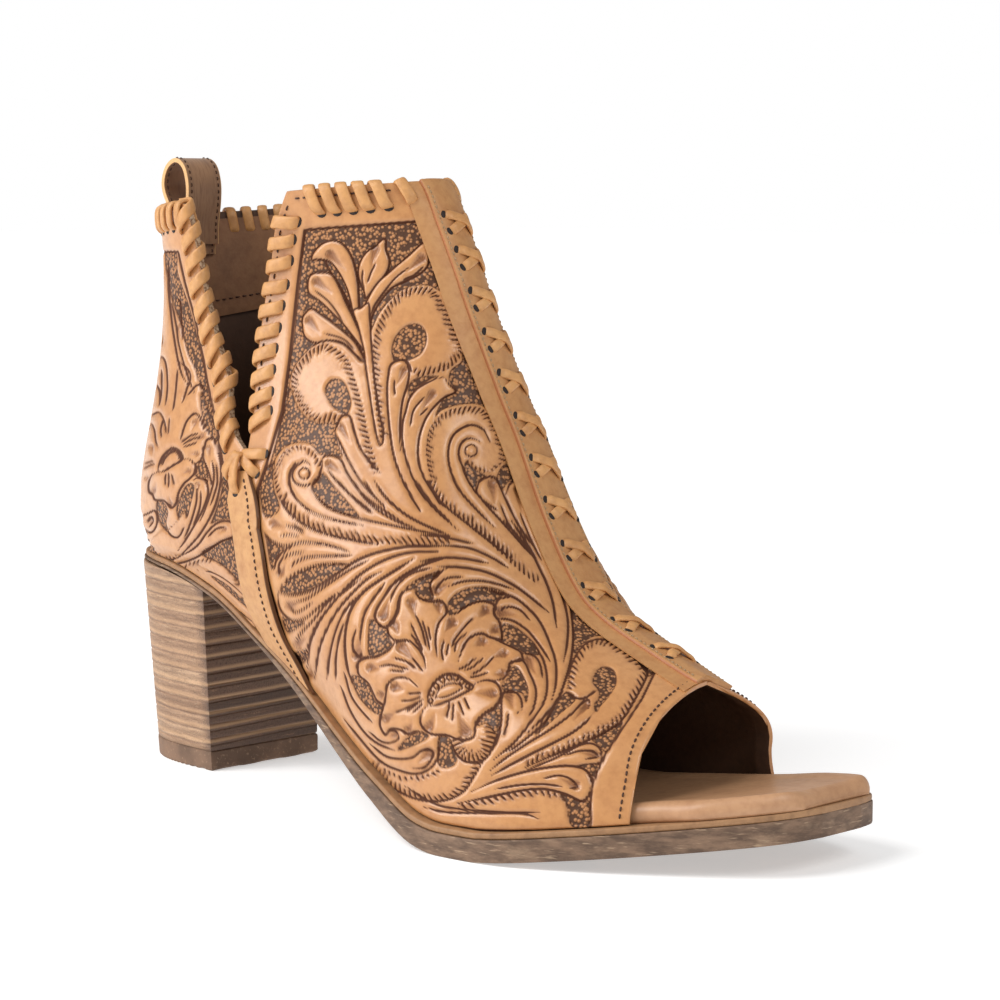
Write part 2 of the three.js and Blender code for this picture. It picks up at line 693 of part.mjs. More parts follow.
// Colours taken from the photo
const leather = new THREE.MeshStandardMaterial({ name: 'tooled_leather', color: 0xb97f49, roughness: 0.45, metalness: 0 });
const plain = new THREE.MeshStandardMaterial({ name: 'plain_leather', color: 0xc08a55, roughness: 0.42, metalness: 0 });
const lining = new THREE.MeshStandardMaterial({ name: 'lining_leather', color: 0xa5754d, roughness: 0.5, metalness: 0 });
const sole = new THREE.MeshStandardMaterial({ name: 'sole_edge', color: 0x6b5138, roughness: 0.6, metalness: 0 });
const rim = new THREE.MeshStandardMaterial({ name: 'rim_leather', color: 0x9a7350, roughness: 0.6, metalness: 0 });
const stack = new THREE.MeshStandardMaterial({ name: 'stacked_heel', color: 0x7a5c42, roughness: 0.55, metalness: 0 });
const rubber = new THREE.MeshStandardMaterial({ name: 'heel_rubber', color: 0x5f4a38, roughness: 0.65, metalness: 0 });

const group = new THREE.Group();
group.name = 'peep_toe_ankle_boot';
function put(name, geometry, material) {
  geometry.deleteAttribute('normal');
  geometry.deleteAttribute('uv');
  const whole = mergeVertices(geometry, 1e-4);
  whole.computeVertexNormals();
  const mesh = new THREE.Mesh(whole, material);
  mesh.name = name;
  group.add(mesh);
}

put('outsole', outsole, sole);
put('midsole', midsole, rim);
put('insole', insole, lining);
put('heel', heel, stack);
put('heel_lift', heelLift, rubber);
put('upper', shell, leather);
put('front_strip', frontStrip, plain);
put('side_strap_outer', strapOuter, plain);
put('side_strap_inner', strapInner, plain);
put('pull_loop', pullLoop(), lining);

export default group;
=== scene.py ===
import math

import bmesh
import bpy
import numpy as np
from mathutils import Matrix, Vector


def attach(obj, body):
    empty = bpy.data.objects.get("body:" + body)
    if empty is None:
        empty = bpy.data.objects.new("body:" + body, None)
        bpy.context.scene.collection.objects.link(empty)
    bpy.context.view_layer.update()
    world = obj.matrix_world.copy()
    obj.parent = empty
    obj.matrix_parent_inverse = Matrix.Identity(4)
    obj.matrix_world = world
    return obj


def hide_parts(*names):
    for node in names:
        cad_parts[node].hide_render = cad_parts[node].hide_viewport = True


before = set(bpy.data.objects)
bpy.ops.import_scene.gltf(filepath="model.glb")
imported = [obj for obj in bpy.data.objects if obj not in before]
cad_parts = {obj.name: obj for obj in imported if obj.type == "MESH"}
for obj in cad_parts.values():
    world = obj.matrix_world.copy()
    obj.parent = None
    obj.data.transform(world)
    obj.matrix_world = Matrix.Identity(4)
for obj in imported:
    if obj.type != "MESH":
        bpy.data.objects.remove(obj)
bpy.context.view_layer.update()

# Peep-toe ankle boot for the right foot. Lengths are mm until a mesh is made, then metres.
MM = 0.001

# Sizes of the sole and upper, the same as the part's own
SOLE_LENGTH = 244.4
SOLE_BACK = -30.1
GAP = 0.3
RIM_THICK = 1.4
UPPER_INSET = 2.6
WALL = 2.0
TOE_START = 0.72
TOE_SPRING = 9.3
TOE_POWER = 1.1
HEEL_TURN = 0.65


# Curves through short tables

def end_slope(h0, h1, d0, d1):
    slope = ((2 * h0 + h1) * d0 - h0 * d1) / (h0 + h1)
    if slope * d0 <= 0:
        return 0.0
    if d0 * d1 <= 0 and abs(slope) > 3 * abs(d0):
        return 3 * d0
    return slope


def curve(xs, ys):
    """A monotone cubic through the points, flat beyond both ends."""
    xs = np.array(xs, float)
    ys = np.array(ys, float)
    h = np.diff(xs)
    d = np.diff(ys) / h
    n = len(xs)
    m = np.zeros(n)
    for i in range(1, n - 1):
        if d[i - 1] * d[i] > 0:
            w1 = 2 * h[i] + h[i - 1]
            w2 = h[i] + 2 * h[i - 1]
            m[i] = (w1 + w2) / (w1 / d[i - 1] + w2 / d[i])
    m[0] = end_slope(h[0], h[1], d[0], d[1])
    m[-1] = end_slope(h[-1], h[-2], d[-1], d[-2])

    def at(x):
        x = np.clip(np.asarray(x, float), xs[0], xs[-1])
        i = np.clip(np.searchsorted(xs, x, side="right") - 1, 0, n - 2)
        t = (x - xs[i]) / h[i]
        return ((1 + 2 * t) * (1 - t) ** 2 * ys[i] + t * (1 - t) ** 2 * h[i] * m[i]
                + t * t * (3 - 2 * t) * ys[i + 1] + t * t * (t - 1) * h[i] * m[i + 1])
    return at


def run_length(line, axis=0):
    """How far along its line each point lies."""
    steps = np.linalg.norm(np.diff(line, axis=axis), axis=-1)
    return np.insert(np.cumsum(steps, axis=axis), 0, 0, axis=axis)


def flow(points, count, closed=False):
    """A smooth line through points, with count samples, evenly spaced."""
    p = np.array(points, float)
    if len(p) == 2:
        t = np.linspace(0, 1, count)[:, None]
        return p[0] * (1 - t) + p[1] * t
    if closed:
        q = np.vstack([p[-1], p, p[0], p[1]])
    else:
        q = np.vstack([2 * p[0] - p[1], p, 2 * p[-1] - p[-2]])
    out = []
    for i in range(1, len(q) - 2):
        t = np.linspace(0, 1, 16, endpoint=False)[:, None]
        a, b, c, d = q[i - 1], q[i], q[i + 1], q[i + 2]
        out.append(0.5 * (2 * b + (c - a) * t + (2 * a - 5 * b + 4 * c - d) * t * t
                          + (3 * b - a - 3 * c + d) * t ** 3))
    line = np.vstack(out + [q[-2][None]])
    s = run_length(line)
    even = np.linspace(0, s[-1], count)
    return np.stack([np.interp(even, s, line[:, k]) for k in range(line.shape[1])], -1)


# Sole outline: share of the sole's length, half width on the outer and inner side
OUTLINE = [
    (0, 4, 4), (0.02, 13.2, 13.2), (0.06, 19, 19), (0.12, 22.6, 22.6), (0.2, 24.2, 24),
    (0.3, 26.2, 23.7), (0.42, 31, 23.6), (0.55, 38.6, 27.6), (0.66, 44.4, 34.6),
    (0.74, 42.2, 37.9), (0.82, 33.4, 38.9), (0.9, 20.8, 38.2), (0.95, 11.2, 36.9),
    (0.98, 3.4, 34.6), (0.992, -2, 31.6), (1, -9, 24.5),
]
ARCH = [
    (0, 57.5), (0.1, 56.5), (0.2, 51), (0.3, 40), (0.4, 28), (0.48, 17), (0.55, 8.5),
    (0.6, 3.7), (0.64, 1), (0.67, 0),
]
SOLE_EDGE = [(0, 0.8), (0.27, 0.9), (0.37, 2.1), (0.47, 3.6), (0.55, 5.1), (0.6, 5.8), (1, 5.8)]
outer_half = curve([r[0] for r in OUTLINE], [r[1] for r in OUTLINE])
inner_half = curve([r[0] for r in OUTLINE], [r[2] for r in OUTLINE])
arch = curve(*zip(*ARCH))
sole_thick = curve(*zip(*SOLE_EDGE))


def underside(s):
    """Height of the sole's underside at a share of its length."""
    s = np.asarray(s, float)
    spring = TOE_SPRING * (np.maximum(s - TOE_START, 0) / (1 - TOE_START)) ** TOE_POWER
    return np.where(s < TOE_START, arch(np.minimum(s, TOE_START)), spring)


def sole_top(s):
    return underside(s) + sole_thick(s)


def rim_top(s):
    return sole_top(s) + GAP + RIM_THICK


def share(x):
    return np.clip((x - SOLE_BACK) / SOLE_LENGTH, 0, 1)


# The upper's sections: w runs from the toe opening (0) to the collar (1),
# t from the sole or back line (0) to the instep ridge (1)
FOOT_X = curve([0, 0.1, 0.2, 0.3, 0.4, 0.5, 0.58, 0.65],
               [181.6, 160, 136, 110, 82, 48, 10, -27.3])
BACK_W = [0.65, 0.72, 0.8, 0.87, 0.94, 1]
BACK_X = curve(BACK_W, [-27.3, -28.2, -23, -17.9, -16.6, -16.6])
BACK_Z = curve(BACK_W, [60.3, 77, 98, 121, 142, 158])
FAN_W = [0, 0.1, 0.2, 0.3, 0.4, 0.5, 0.58, 0.65, 0.72, 0.8, 0.87, 0.94, 1]
FRONT_X = curve(FAN_W, [174.8, 156, 135.6, 121, 111.3, 104.8, 101.4, 98.7, 96.2, 92.5, 89, 86, 83.2])
FRONT_Z = curve(FAN_W, [42.3, 48.2, 57.8, 77.4, 97.6, 112.6, 124.2, 133, 141.1, 150.1, 157.7,
                        163.5, 167])
RIDGE_Y = curve(FAN_W, [12.4, 13.3, 13.1, 13, 12.4, 10.5, 8, 6.4, 5.2, 4.4, 3.8, 3.5, 3.5])
OUTER_WIDE = curve(FAN_W, [21.5, 35.6, 42, 43.2, 40.4, 37, 33.7, 30.2, 27.6, 25.2, 24.3, 25, 26.3])
INNER_WIDE = curve(FAN_W, [32.6, 35.2, 34, 28.4, 25.8, 26, 27, 27.3, 27.3, 27.2, 27.4, 28, 28.4])
SLIM_OUTER = curve([0, 0.1, 0.25], [1.25, 1.1, 1])
SLIM_INNER = curve([0, 0.1, 0.25], [2.2, 1.6, 1])
INNER_SHIFT = 3.4
WIDEST_AT = 0.36
LOWER_SHARE = 0.42
BLEND_WEIGHTS = (1, 3, 6, 7, 6, 3, 1)


def section_start(w, side):
    """Where a section starts: on the sole's rim, or on the back line past the heel's turn."""
    low = w <= HEEL_TURN
    x = np.where(low, FOOT_X(np.minimum(w, HEEL_TURN)), BACK_X(np.maximum(w, HEEL_TURN)))
    if side > 0:
        x = x - INNER_SHIFT * np.maximum(0, 1 - w / 0.1)
    return x, np.where(low, rim_top(share(x)) + GAP, BACK_Z(np.maximum(w, HEEL_TURN)))


def face_point(w, t, side):
    """A point on the upper's outer face; side is -1 on the outer side, +1 on the inner."""
    w, t = np.broadcast_arrays(np.asarray(w, float), np.asarray(t, float))
    lower = np.minimum(t / LOWER_SHARE, 1) * math.pi / 2
    upper = np.maximum((t - LOWER_SHARE) / (1 - LOWER_SHARE), 0) * math.pi / 2
    rise = WIDEST_AT * (1 - np.cos(lower)) + (1 - WIDEST_AT) * np.sin(upper) ** (2 / 2.2)
    k = np.clip(rise / 0.12, 0, 1)
    reach = np.minimum(0.1 * k * k * (3 - 2 * k), np.minimum(w, 1 - w))
    x0 = 0
    z0 = 0
    for step, weight in zip(range(-3, 4), BLEND_WEIGHTS):
        x, z = section_start(np.clip(w + reach * step / 3, 0, 1), side)
        x0 = x0 + x * weight / 27
        z0 = z0 + z * weight / 27
    s = share(section_start(w, side)[0])
    half = np.maximum((outer_half(s) if side < 0 else inner_half(s)) - UPPER_INSET, 0)
    turn = np.sqrt(np.clip((HEEL_TURN - w) / 0.02, 0, 1))
    base = np.where(w <= HEEL_TURN, half * turn, 0)
    wide = OUTER_WIDE(w) if side < 0 else INNER_WIDE(w)
    slim = (SLIM_OUTER if side < 0 else SLIM_INNER)(w)
    fade = np.minimum(2.4, wide / np.maximum(base, 1e-6))
    y = np.where(upper > 0, wide * np.maximum(np.cos(upper), 0) ** slim,
                 wide * np.sin(lower) + base * np.maximum(1 - np.sin(lower), 0) ** fade)
    return np.stack([x0 + (FRONT_X(w) - x0) * rise, side * y + RIDGE_Y(w) * rise ** 1.5,
                     z0 + (FRONT_Z(w) - z0) * rise], -1)


def unit(v):
    return v / np.maximum(np.linalg.norm(v, axis=-1, keepdims=True), 1e-9)


STEP = 0.006


def face_normal(w, t, side):
    w, t = np.broadcast_arrays(np.asarray(w, float), np.asarray(t, float))
    up = face_point(np.minimum(w + STEP, 1), t, side) - face_point(np.maximum(w - STEP, 0), t, side)
    over = (face_point(w, np.minimum(t + STEP, 1), side)
            - face_point(w, np.maximum(t - STEP, 0), side))
    ridge = face_point(w, 1 - STEP, -side) - face_point(w, 1 - STEP, side)
    over = np.where((t > 0.999)[..., None], ridge, over)
    return unit(np.cross(up, over)) * (1 if side > 0 else -1)


# The camera stands where the photograph was taken from
CAMERA_AT = np.array([624.4, -509.7, 163.7])
CAMERA_TURN = math.radians(45.1)
CAMERA_DOWN = math.radians(6.3)
CAMERA_ROLL = math.radians(0.2)
FOCAL = 2770.5
FRAME_SIZE = 1000
look = np.array([-math.sin(CAMERA_TURN) * math.cos(CAMERA_DOWN),
                 math.cos(CAMERA_TURN) * math.cos(CAMERA_DOWN), -math.sin(CAMERA_DOWN)])
flat_right = np.array([math.cos(CAMERA_TURN), math.sin(CAMERA_TURN), 0])
flat_up = np.cross(flat_right, look)
right = flat_right * math.cos(CAMERA_ROLL) + flat_up * math.sin(CAMERA_ROLL)
above = flat_up * math.cos(CAMERA_ROLL) - flat_right * math.sin(CAMERA_ROLL)


def to_photo(p):
    """Where a point shows in the photograph, which is also the tooling chart's own place."""
    d = p - CAMERA_AT
    depth = d @ look
    return np.stack([FRAME_SIZE / 2 + FOCAL * (d @ right) / depth,
                     FRAME_SIZE / 2 - FOCAL * (d @ above) / depth], -1)


camera_data = bpy.data.cameras.new("camera")
camera_data.sensor_width = 36
camera_data.lens = FOCAL / FRAME_SIZE * 36
camera_data.clip_start = 0.05
camera_data.clip_end = 20
camera = bpy.data.objects.new("camera", camera_data)
bpy.context.scene.collection.objects.link(camera)
camera.matrix_world = Matrix([
    (right[0], above[0], -look[0], CAMERA_AT[0] * MM),
    (right[1], above[1], -look[1], CAMERA_AT[1] * MM),
    (right[2], above[2], -look[2], CAMERA_AT[2] * MM),
    (0, 0, 0, 1),
])
bpy.context.scene.camera = camera


# Shader maths

class Value:
    """A socket that takes Python's operators; each one adds a Math node."""

    def __init__(self, tree, socket):
        self.tree = tree
        self.socket = socket

    def make(self, kind, settings=None, inputs=None, output=0):
        node = self.tree.nodes.new(kind)
        for key, value in (settings or {}).items():
            if key == "stops":
                ramp = node.color_ramp
                while len(ramp.elements) > 1:
                    ramp.elements.remove(ramp.elements[-1])
                ramp.elements[0].position = value[0][0]
                ramp.elements[0].color = (*value[0][1], 1)
                for place, colour in value[1:]:
                    ramp.elements.new(place).color = (*colour, 1)
            else:
                setattr(node, key, value)
        for key, value in (inputs or {}).items():
            if isinstance(value, Value):
                self.tree.links.new(value.socket, node.inputs[key])
            else:
                node.inputs[key].default_value = value
        return Value(self.tree, node.outputs[output] if len(node.outputs) else None)

    def maths(self, operation, *values):
        return self.make("ShaderNodeMath", {"operation": operation}, dict(enumerate(values)))

    def __add__(self, other):
        return self.maths("ADD", self, other)

    __radd__ = __add__

    def __mul__(self, other):
        return self.maths("MULTIPLY", self, other)

    __rmul__ = __mul__

    def __sub__(self, other):
        return self.maths("SUBTRACT", self, other)

    def __rsub__(self, other):
        return self.maths("SUBTRACT", other, self)

    def __truediv__(self, other):
        return self.maths("DIVIDE", self, other)

    def clamp(self, low=0.0, high=1.0):
        return self.make("ShaderNodeClamp", None, {"Value": self, "Min": low, "Max": high})

    def band(self, low, high):
        """0 below low, 1 above high, smooth between."""
        return self.make("ShaderNodeMapRange", {"interpolation_type": "SMOOTHSTEP"},
                         {"Value": self, "From Min": low, "From Max": high})

    def mix(self, other, factor):
        return self.make("ShaderNodeMix", {"data_type": "RGBA"},
                         {0: factor, 6: self, 7: other}, 2)

    def tint(self, other, factor):
        return self.make("ShaderNodeMix", {"data_type": "RGBA", "blend_type": "MULTIPLY"},
                         {0: factor, 6: self, 7: other}, 2)


def rgb(r, g, b):
    """A colour given as it is seen, from 0 to 255, as the linear one that shaders take."""
    def linear(v):
        v = v / 255
        return v / 12.92 if v <= 0.04045 else ((v + 0.055) / 1.055) ** 2.4
    return (linear(r), linear(g), linear(b), 1.0)


class Finish:
    """A material in the making: its tree, its object coordinates and its closing shader."""

    def __init__(self, name):
        self.material = bpy.data.materials.new(name)
        self.material.use_nodes = True
        self.tree = self.material.node_tree
        self.tree.nodes.clear()
        self.start = Value(self.tree, None)
        coords = self.tree.nodes.new("ShaderNodeTexCoord")
        self.place = Value(self.tree, coords.outputs["Object"])

    def make(self, *args):
        return self.start.make(*args)

    def attribute(self, name):
        node = self.tree.nodes.new("ShaderNodeAttribute")
        node.attribute_name = name
        return Value(self.tree, node.outputs["Fac"])

    def axis(self, letter):
        return self.make("ShaderNodeSeparateXYZ", None, {0: self.place}, letter)

    def stretched(self, x, y, z):
        return self.make("ShaderNodeMapping", None, {"Vector": self.place, "Scale": (x, y, z)})

    def noise(self, scale, detail=3.0, rough=0.55, place=None):
        return self.make("ShaderNodeTexNoise", None, {
            "Vector": place or self.place, "Scale": scale, "Detail": detail, "Roughness": rough})

    def cells(self, scale):
        return self.make("ShaderNodeTexVoronoi", {"feature": "F1"}, {
            "Vector": self.place, "Scale": scale})

    def colour(self, value):
        node = self.tree.nodes.new("ShaderNodeRGB")
        node.outputs[0].default_value = value
        return Value(self.tree, node.outputs[0])

    def bump(self, height, distance, strength):
        return self.make("ShaderNodeBump", None, {
            "Height": height, "Distance": distance, "Strength": strength})

    def close(self, colour, roughness, normal=None, **fixed):
        inputs = {"Base Color": colour, "Roughness": roughness}
        if normal is not None:
            inputs["Normal"] = normal
        for key, value in fixed.items():
            inputs[key.replace("_", " ")] = value
        shader = self.make("ShaderNodeBsdfPrincipled", None, inputs)
        self.make("ShaderNodeOutputMaterial", None, {"Surface": shader})
        return self.material


# Colours as they are seen on the shoe
TAN = rgb(196, 138, 84)
TAN_LIGHT = rgb(216, 162, 108)
TAN_DEEP = rgb(156, 96, 52)
ANTIQUE = rgb(74, 38, 20)
RAW = rgb(198, 172, 142)
LINING = rgb(142, 100, 68)
LINING_DARK = rgb(98, 64, 42)


def leather_grain(f):
    return f.cells(1500.0) * 0.5 + f.noise(900.0, 4.0) * 0.6


def tooled_leather():
    """Carved leather: stain left in the cuts and on the stamped ground, raw fibre on cut edges."""
    f = Finish("tooled_leather")
    cut = f.attribute("cut").band(0.08, 0.72)
    ground = f.attribute("ground").band(0.1, 0.8)
    shade = f.attribute("shade")
    rim = f.attribute("rim")
    patches = f.noise(28.0, 3.0)
    fine = f.noise(420.0, 4.0)
    base = f.colour(TAN).mix(TAN_LIGHT, (patches - 0.38).clamp() * 1.3)
    base = base.mix(TAN_DEEP, (fine - 0.42).clamp() * 1.2)
    base = base.mix(rgb(140, 82, 42), shade.clamp() * 0.8)
    pits = f.cells(980.0)
    stipple = ground * pits.band(0.32, 0.6)
    base = base.mix(rgb(184, 128, 84), ground * 0.85)
    base = base.mix(rgb(66, 38, 22), stipple * 0.95)
    base = base.mix(ANTIQUE, cut.clamp() * 0.97)
    fibre = f.noise(1300.0, 4.0)
    base = base.mix(f.colour(RAW).mix(rgb(120, 84, 56), fibre.band(0.4, 0.66)), rim.band(0.4, 0.95))
    height = leather_grain(f) * (1 - ground) * 0.12 + (1 - pits.band(0.1, 0.7)) * ground * 1.0
    normal = f.bump(height, 0.0005, 0.85)
    # The raised leather is polished; the cuts and the stamped ground stay matt
    rough = 0.4 + fine * 0.14 + cut.clamp() * 0.3 + ground * 0.2 + rim.clamp() * 0.25
    gloss = (1 - cut) * (1 - ground * 0.75) * (1 - rim.clamp()) * 0.75
    return f.close(base, rough, normal, Coat_Weight=gloss, Coat_Roughness=0.26,
                   Specular_IOR_Level=0.3)


def plain_leather(name, colour, deep, light, grain, rough, edge=RAW):
    """Smooth leather: a colour with deeper and lighter patches, and its cut edges' colour."""
    f = Finish(name)
    rim = f.attribute("rim")
    patches = f.noise(40.0, 3.0)
    fine = f.noise(500.0, 5.0)
    streak = f.noise(160.0, 4.0)
    base = f.colour(colour).mix(light, (patches - 0.4).clamp() * 1.3)
    base = base.mix(deep, (fine - 0.42).clamp() * 1.2)
    base = base.mix(deep, (streak - 0.5).clamp() * 1.8)
    base = base.mix(edge, rim.band(0.4, 0.9) * 0.9)
    normal = f.bump(leather_grain(f), 0.00025, grain)
    return f.close(base, rough + fine * 0.15, normal, Specular_IOR_Level=0.5)


def sole_edge_leather():
    """The sole's sanded edge: dark brown, mottled, with fine pale scratches along it."""
    f = Finish("sole_edge")
    along = f.noise(420.0, 6.0, 0.65, f.stretched(0.35, 0.35, 1.3))
    patches = f.noise(170.0, 5.0, 0.65, f.stretched(0.5, 0.5, 1.2))
    base = f.colour(rgb(132, 104, 82)).mix(rgb(92, 70, 54), along.band(0.36, 0.66))
    base = base.mix(rgb(78, 58, 45), patches.band(0.44, 0.7) * 0.6)
    base = base.mix(rgb(166, 138, 110), (1 - patches.band(0.3, 0.45)) * 0.4)
    scratch = f.noise(1500.0, 4.0, 0.6, f.stretched(0.12, 0.12, 1.2))
    base = base.mix(rgb(184, 156, 126), scratch.band(0.58, 0.7) * 0.6)
    normal = f.bump(along + scratch * 0.5, 0.0003, 0.5)
    return f.close(base, 0.52 + patches * 0.2, normal)


def stack_leather():
    """Thin boards, each with its own brown, darker on the breast."""
    f = Finish("stacked_heel")
    z = f.axis("Z")
    x = f.axis("X")
    y = f.axis("Y")
    wave = f.noise(30.0, 2.0) * 0.0006
    layer = (z + wave - y * 0.02) / 0.0041
    step = layer.maths("FLOOR", layer)
    part = layer.maths("FRACT", layer)
    pick = f.make("ShaderNodeTexWhiteNoise", {"noise_dimensions": "1D"}, {"W": step}, 0)
    grain = f.noise(420.0, 6.0, 0.7, f.stretched(0.3, 0.3, 3.0))
    fine = f.noise(1200.0, 4.0, 0.6, f.stretched(0.2, 0.2, 2.0))
    light = f.make("ShaderNodeValToRGB", {"stops": [
        (0.0, rgb(158, 122, 94)[:3]), (0.35, rgb(194, 156, 122)[:3]),
        (0.7, rgb(174, 136, 106)[:3]), (1.0, rgb(206, 170, 136)[:3])]}, {"Fac": pick})
    light = light.mix(rgb(124, 92, 68), grain.band(0.4, 0.66) * 0.6)
    light = light.mix(rgb(222, 190, 156), fine.band(0.56, 0.7) * 0.45)
    dark = f.make("ShaderNodeValToRGB", {"stops": [
        (0.0, rgb(86, 63, 49)[:3]), (0.5, rgb(110, 82, 64)[:3]), (1.0, rgb(96, 70, 54)[:3])]},
        {"Fac": pick})
    dark = dark.mix(rgb(172, 132, 98), grain.band(0.56, 0.7) * 0.45)
    facing = f.attribute("breast")
    base = light.mix(dark, facing.clamp())
    seam = 1 - part.band(0.0, 0.12) * (1 - part.band(0.88, 1.0))
    paler = part.band(0.06, 0.24) * (1 - part.band(0.24, 0.5))
    speck = f.noise(2600.0, 3.0)
    broad = part.band(0.1, 0.6) * (1 - part.band(0.6, 0.95))
    base = base.mix(rgb(112, 84, 62), broad * (1 - facing.clamp()) * 0.4)
    base = base.mix(rgb(64, 46, 34), speck.band(0.48, 0.62) * (facing.clamp() * 0.3 + 0.34))
    base = base.mix(rgb(206, 164, 122), paler * (facing.clamp() * 0.2 + 0.34))
    base = base.mix(rgb(92, 64, 44), seam * 0.32)
    normal = f.bump(grain * 0.5 + fine * 0.3 - seam, 0.0003, 0.7)
    return f.close(base, 0.46 + grain * 0.16, normal)


def rubber():
    f = Finish("heel_rubber")
    fine = f.noise(1100.0, 4.0)
    patches = f.noise(70.0, 3.0)
    base = f.colour(rgb(132, 102, 80)).mix(rgb(98, 74, 57), patches.band(0.35, 0.7))
    base = base.mix(rgb(176, 144, 116), fine.band(0.56, 0.72) * 0.5)
    return f.close(base, 0.6 + fine * 0.15, f.bump(fine, 0.0002, 0.5))


def ribbon():
    f = Finish("loop_ribbon")
    rim = f.attribute("rim")
    weave = f.noise(900.0, 3.0, 0.5, f.stretched(0.3, 2.0, 0.3))
    patches = f.noise(60.0, 2.0)
    base = f.colour(rgb(138, 100, 70)).mix(rgb(166, 124, 88), patches.band(0.35, 0.7))
    base = base.mix(rgb(104, 70, 46), weave.band(0.4, 0.75) * 0.5)
    base = base.mix(rgb(222, 172, 112), rim.band(0.3, 0.9))
    return f.close(base, 0.38 + weave * 0.12, f.bump(weave, 0.0001, 0.3), Sheen_Weight=0.2)


def thread(name, colour):
    f = Finish(name)
    twist = f.noise(2600.0, 2.0)
    base = f.colour(colour).tint((0.45, 0.4, 0.38, 1.0), twist.band(0.4, 0.7) * 0.5)
    return f.close(base, 0.55 + twist * 0.2)


leather = tooled_leather()
lace_leather = plain_leather("lace_leather", rgb(204, 148, 90), rgb(150, 96, 54), rgb(224, 174, 116),
                             0.35, 0.4)
lining = plain_leather("lining_leather", rgb(86, 60, 44), rgb(60, 41, 30), rgb(102, 73, 53), 0.2,
                       0.5, rgb(176, 138, 100))
collar_lining = plain_leather("collar_lining", LINING, LINING_DARK, rgb(156, 114, 80), 0.2, 0.46,
                              rgb(196, 158, 118))
pad_leather = plain_leather("pad_leather", rgb(190, 144, 106), rgb(158, 110, 76), rgb(204, 160, 122),
                            0.15, 0.34)
rim_leather = plain_leather("rim_leather", rgb(160, 118, 80), rgb(100, 68, 44), rgb(186, 144, 102),
                            0.3, 0.5)
strip_leather = plain_leather("strip_leather", rgb(190, 138, 86), TAN_DEEP, rgb(206, 156, 104), 0.3,
                              0.42, rgb(170, 104, 62))
strap_leather = plain_leather("strap_leather", rgb(198, 146, 92), TAN_DEEP, rgb(216, 168, 114), 0.3,
                              0.4, rgb(84, 50, 28))
edge_leather = sole_edge_leather()
stack = stack_leather()
lift_rubber = rubber()
loop_ribbon = ribbon()
dark_thread = thread("dark_thread", rgb(76, 46, 28))
pale_thread = thread("pale_thread", rgb(170, 138, 100))
# Near-black colour for the domes of painted shade at the lacing holes
hole_shadow_paint = thread("hole_shadow", rgb(34, 18, 11))


# Mesh makers

def lay_grid(bm, points, values=None, back_from=None):
    """A grid put on the given points, rows by columns, with values kept at the vertices.

    Columns from back_from on take the second material.
    """
    rows, cols = points.shape[:2]
    made = bmesh.ops.create_grid(bm, x_segments=cols - 1, y_segments=rows - 1, size=1.0)["verts"]
    flat = (points.reshape(-1, 3) * MM).tolist()
    layers = [(bm.verts.layers.float[key], grid.reshape(-1).tolist())
              for key, grid in values.items()] if values else []
    for vert in made:
        c = round((vert.co.x + 1) / 2 * (cols - 1))
        r = round((vert.co.y + 1) / 2 * (rows - 1))
        k = r * cols + c
        vert.co = flat[k]
        for layer, numbers in layers:
            vert[layer] = numbers[k]
        vert.tag = back_from is not None and c >= back_from
    if back_from is not None:
        for face in {f for v in made for f in v.link_faces}:
            face.material_index = int(all(v.tag for v in face.verts))


def finish_mesh(bm, name, materials, node, fill=True, angle=None):
    """Join the seam, cap the ends, turn the faces outward and hand the piece over.

    Edges that turn by more than the angle, in degrees, stay sharp.
    """
    bmesh.ops.remove_doubles(bm, verts=bm.verts, dist=1e-6)
    if fill:
        rim = [e for e in bm.edges if e.is_boundary]
        if rim:
            caps = bmesh.ops.holes_fill(bm, edges=rim, sides=0)["faces"]
            bmesh.ops.triangulate(bm, faces=caps, ngon_method="EAR_CLIP")
    bmesh.ops.recalc_face_normals(bm, faces=bm.faces)
    for face in bm.faces:
        face.smooth = True
    if angle is not None:
        limit = math.radians(angle)
        for edge in bm.edges:
            if edge.is_manifold and edge.calc_face_angle(0) > limit:
                edge.smooth = False
    mesh = bpy.data.meshes.new(name)
    bm.to_mesh(mesh)
    bm.free()
    for material in materials:
        mesh.materials.append(material)
    piece = bpy.data.objects.new(name, mesh)
    bpy.context.scene.collection.objects.link(piece)
    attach(piece, "root")
    if node:
        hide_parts(node)
    return piece


def grid_piece(grid, name, materials, node, values=None, back_from=None, angle=None):
    """A closed piece from one grid whose first and last columns meet."""
    bm = bmesh.new()
    for key in values or ():
        bm.verts.layers.float.new(key)
    lay_grid(bm, grid, values, back_from)
    return finish_mesh(bm, name, materials, node, angle=angle)


def even_rows(lo, hi, count, measure):
    """Stations from lo to hi at even spacing of the line that measure gives."""
    fine = np.linspace(lo, hi, 600)
    line = measure(fine)
    s = run_length(line)
    return np.interp(np.linspace(0, s[-1], count), s, fine)


# Sole layers: cross sections along the sole, with rounded edges

def sole_stations(lo, hi, count):
    q = 0.5 - 0.5 * np.cos(np.pi * np.arange(count + 1) / count)
    return lo + (hi - lo) * q


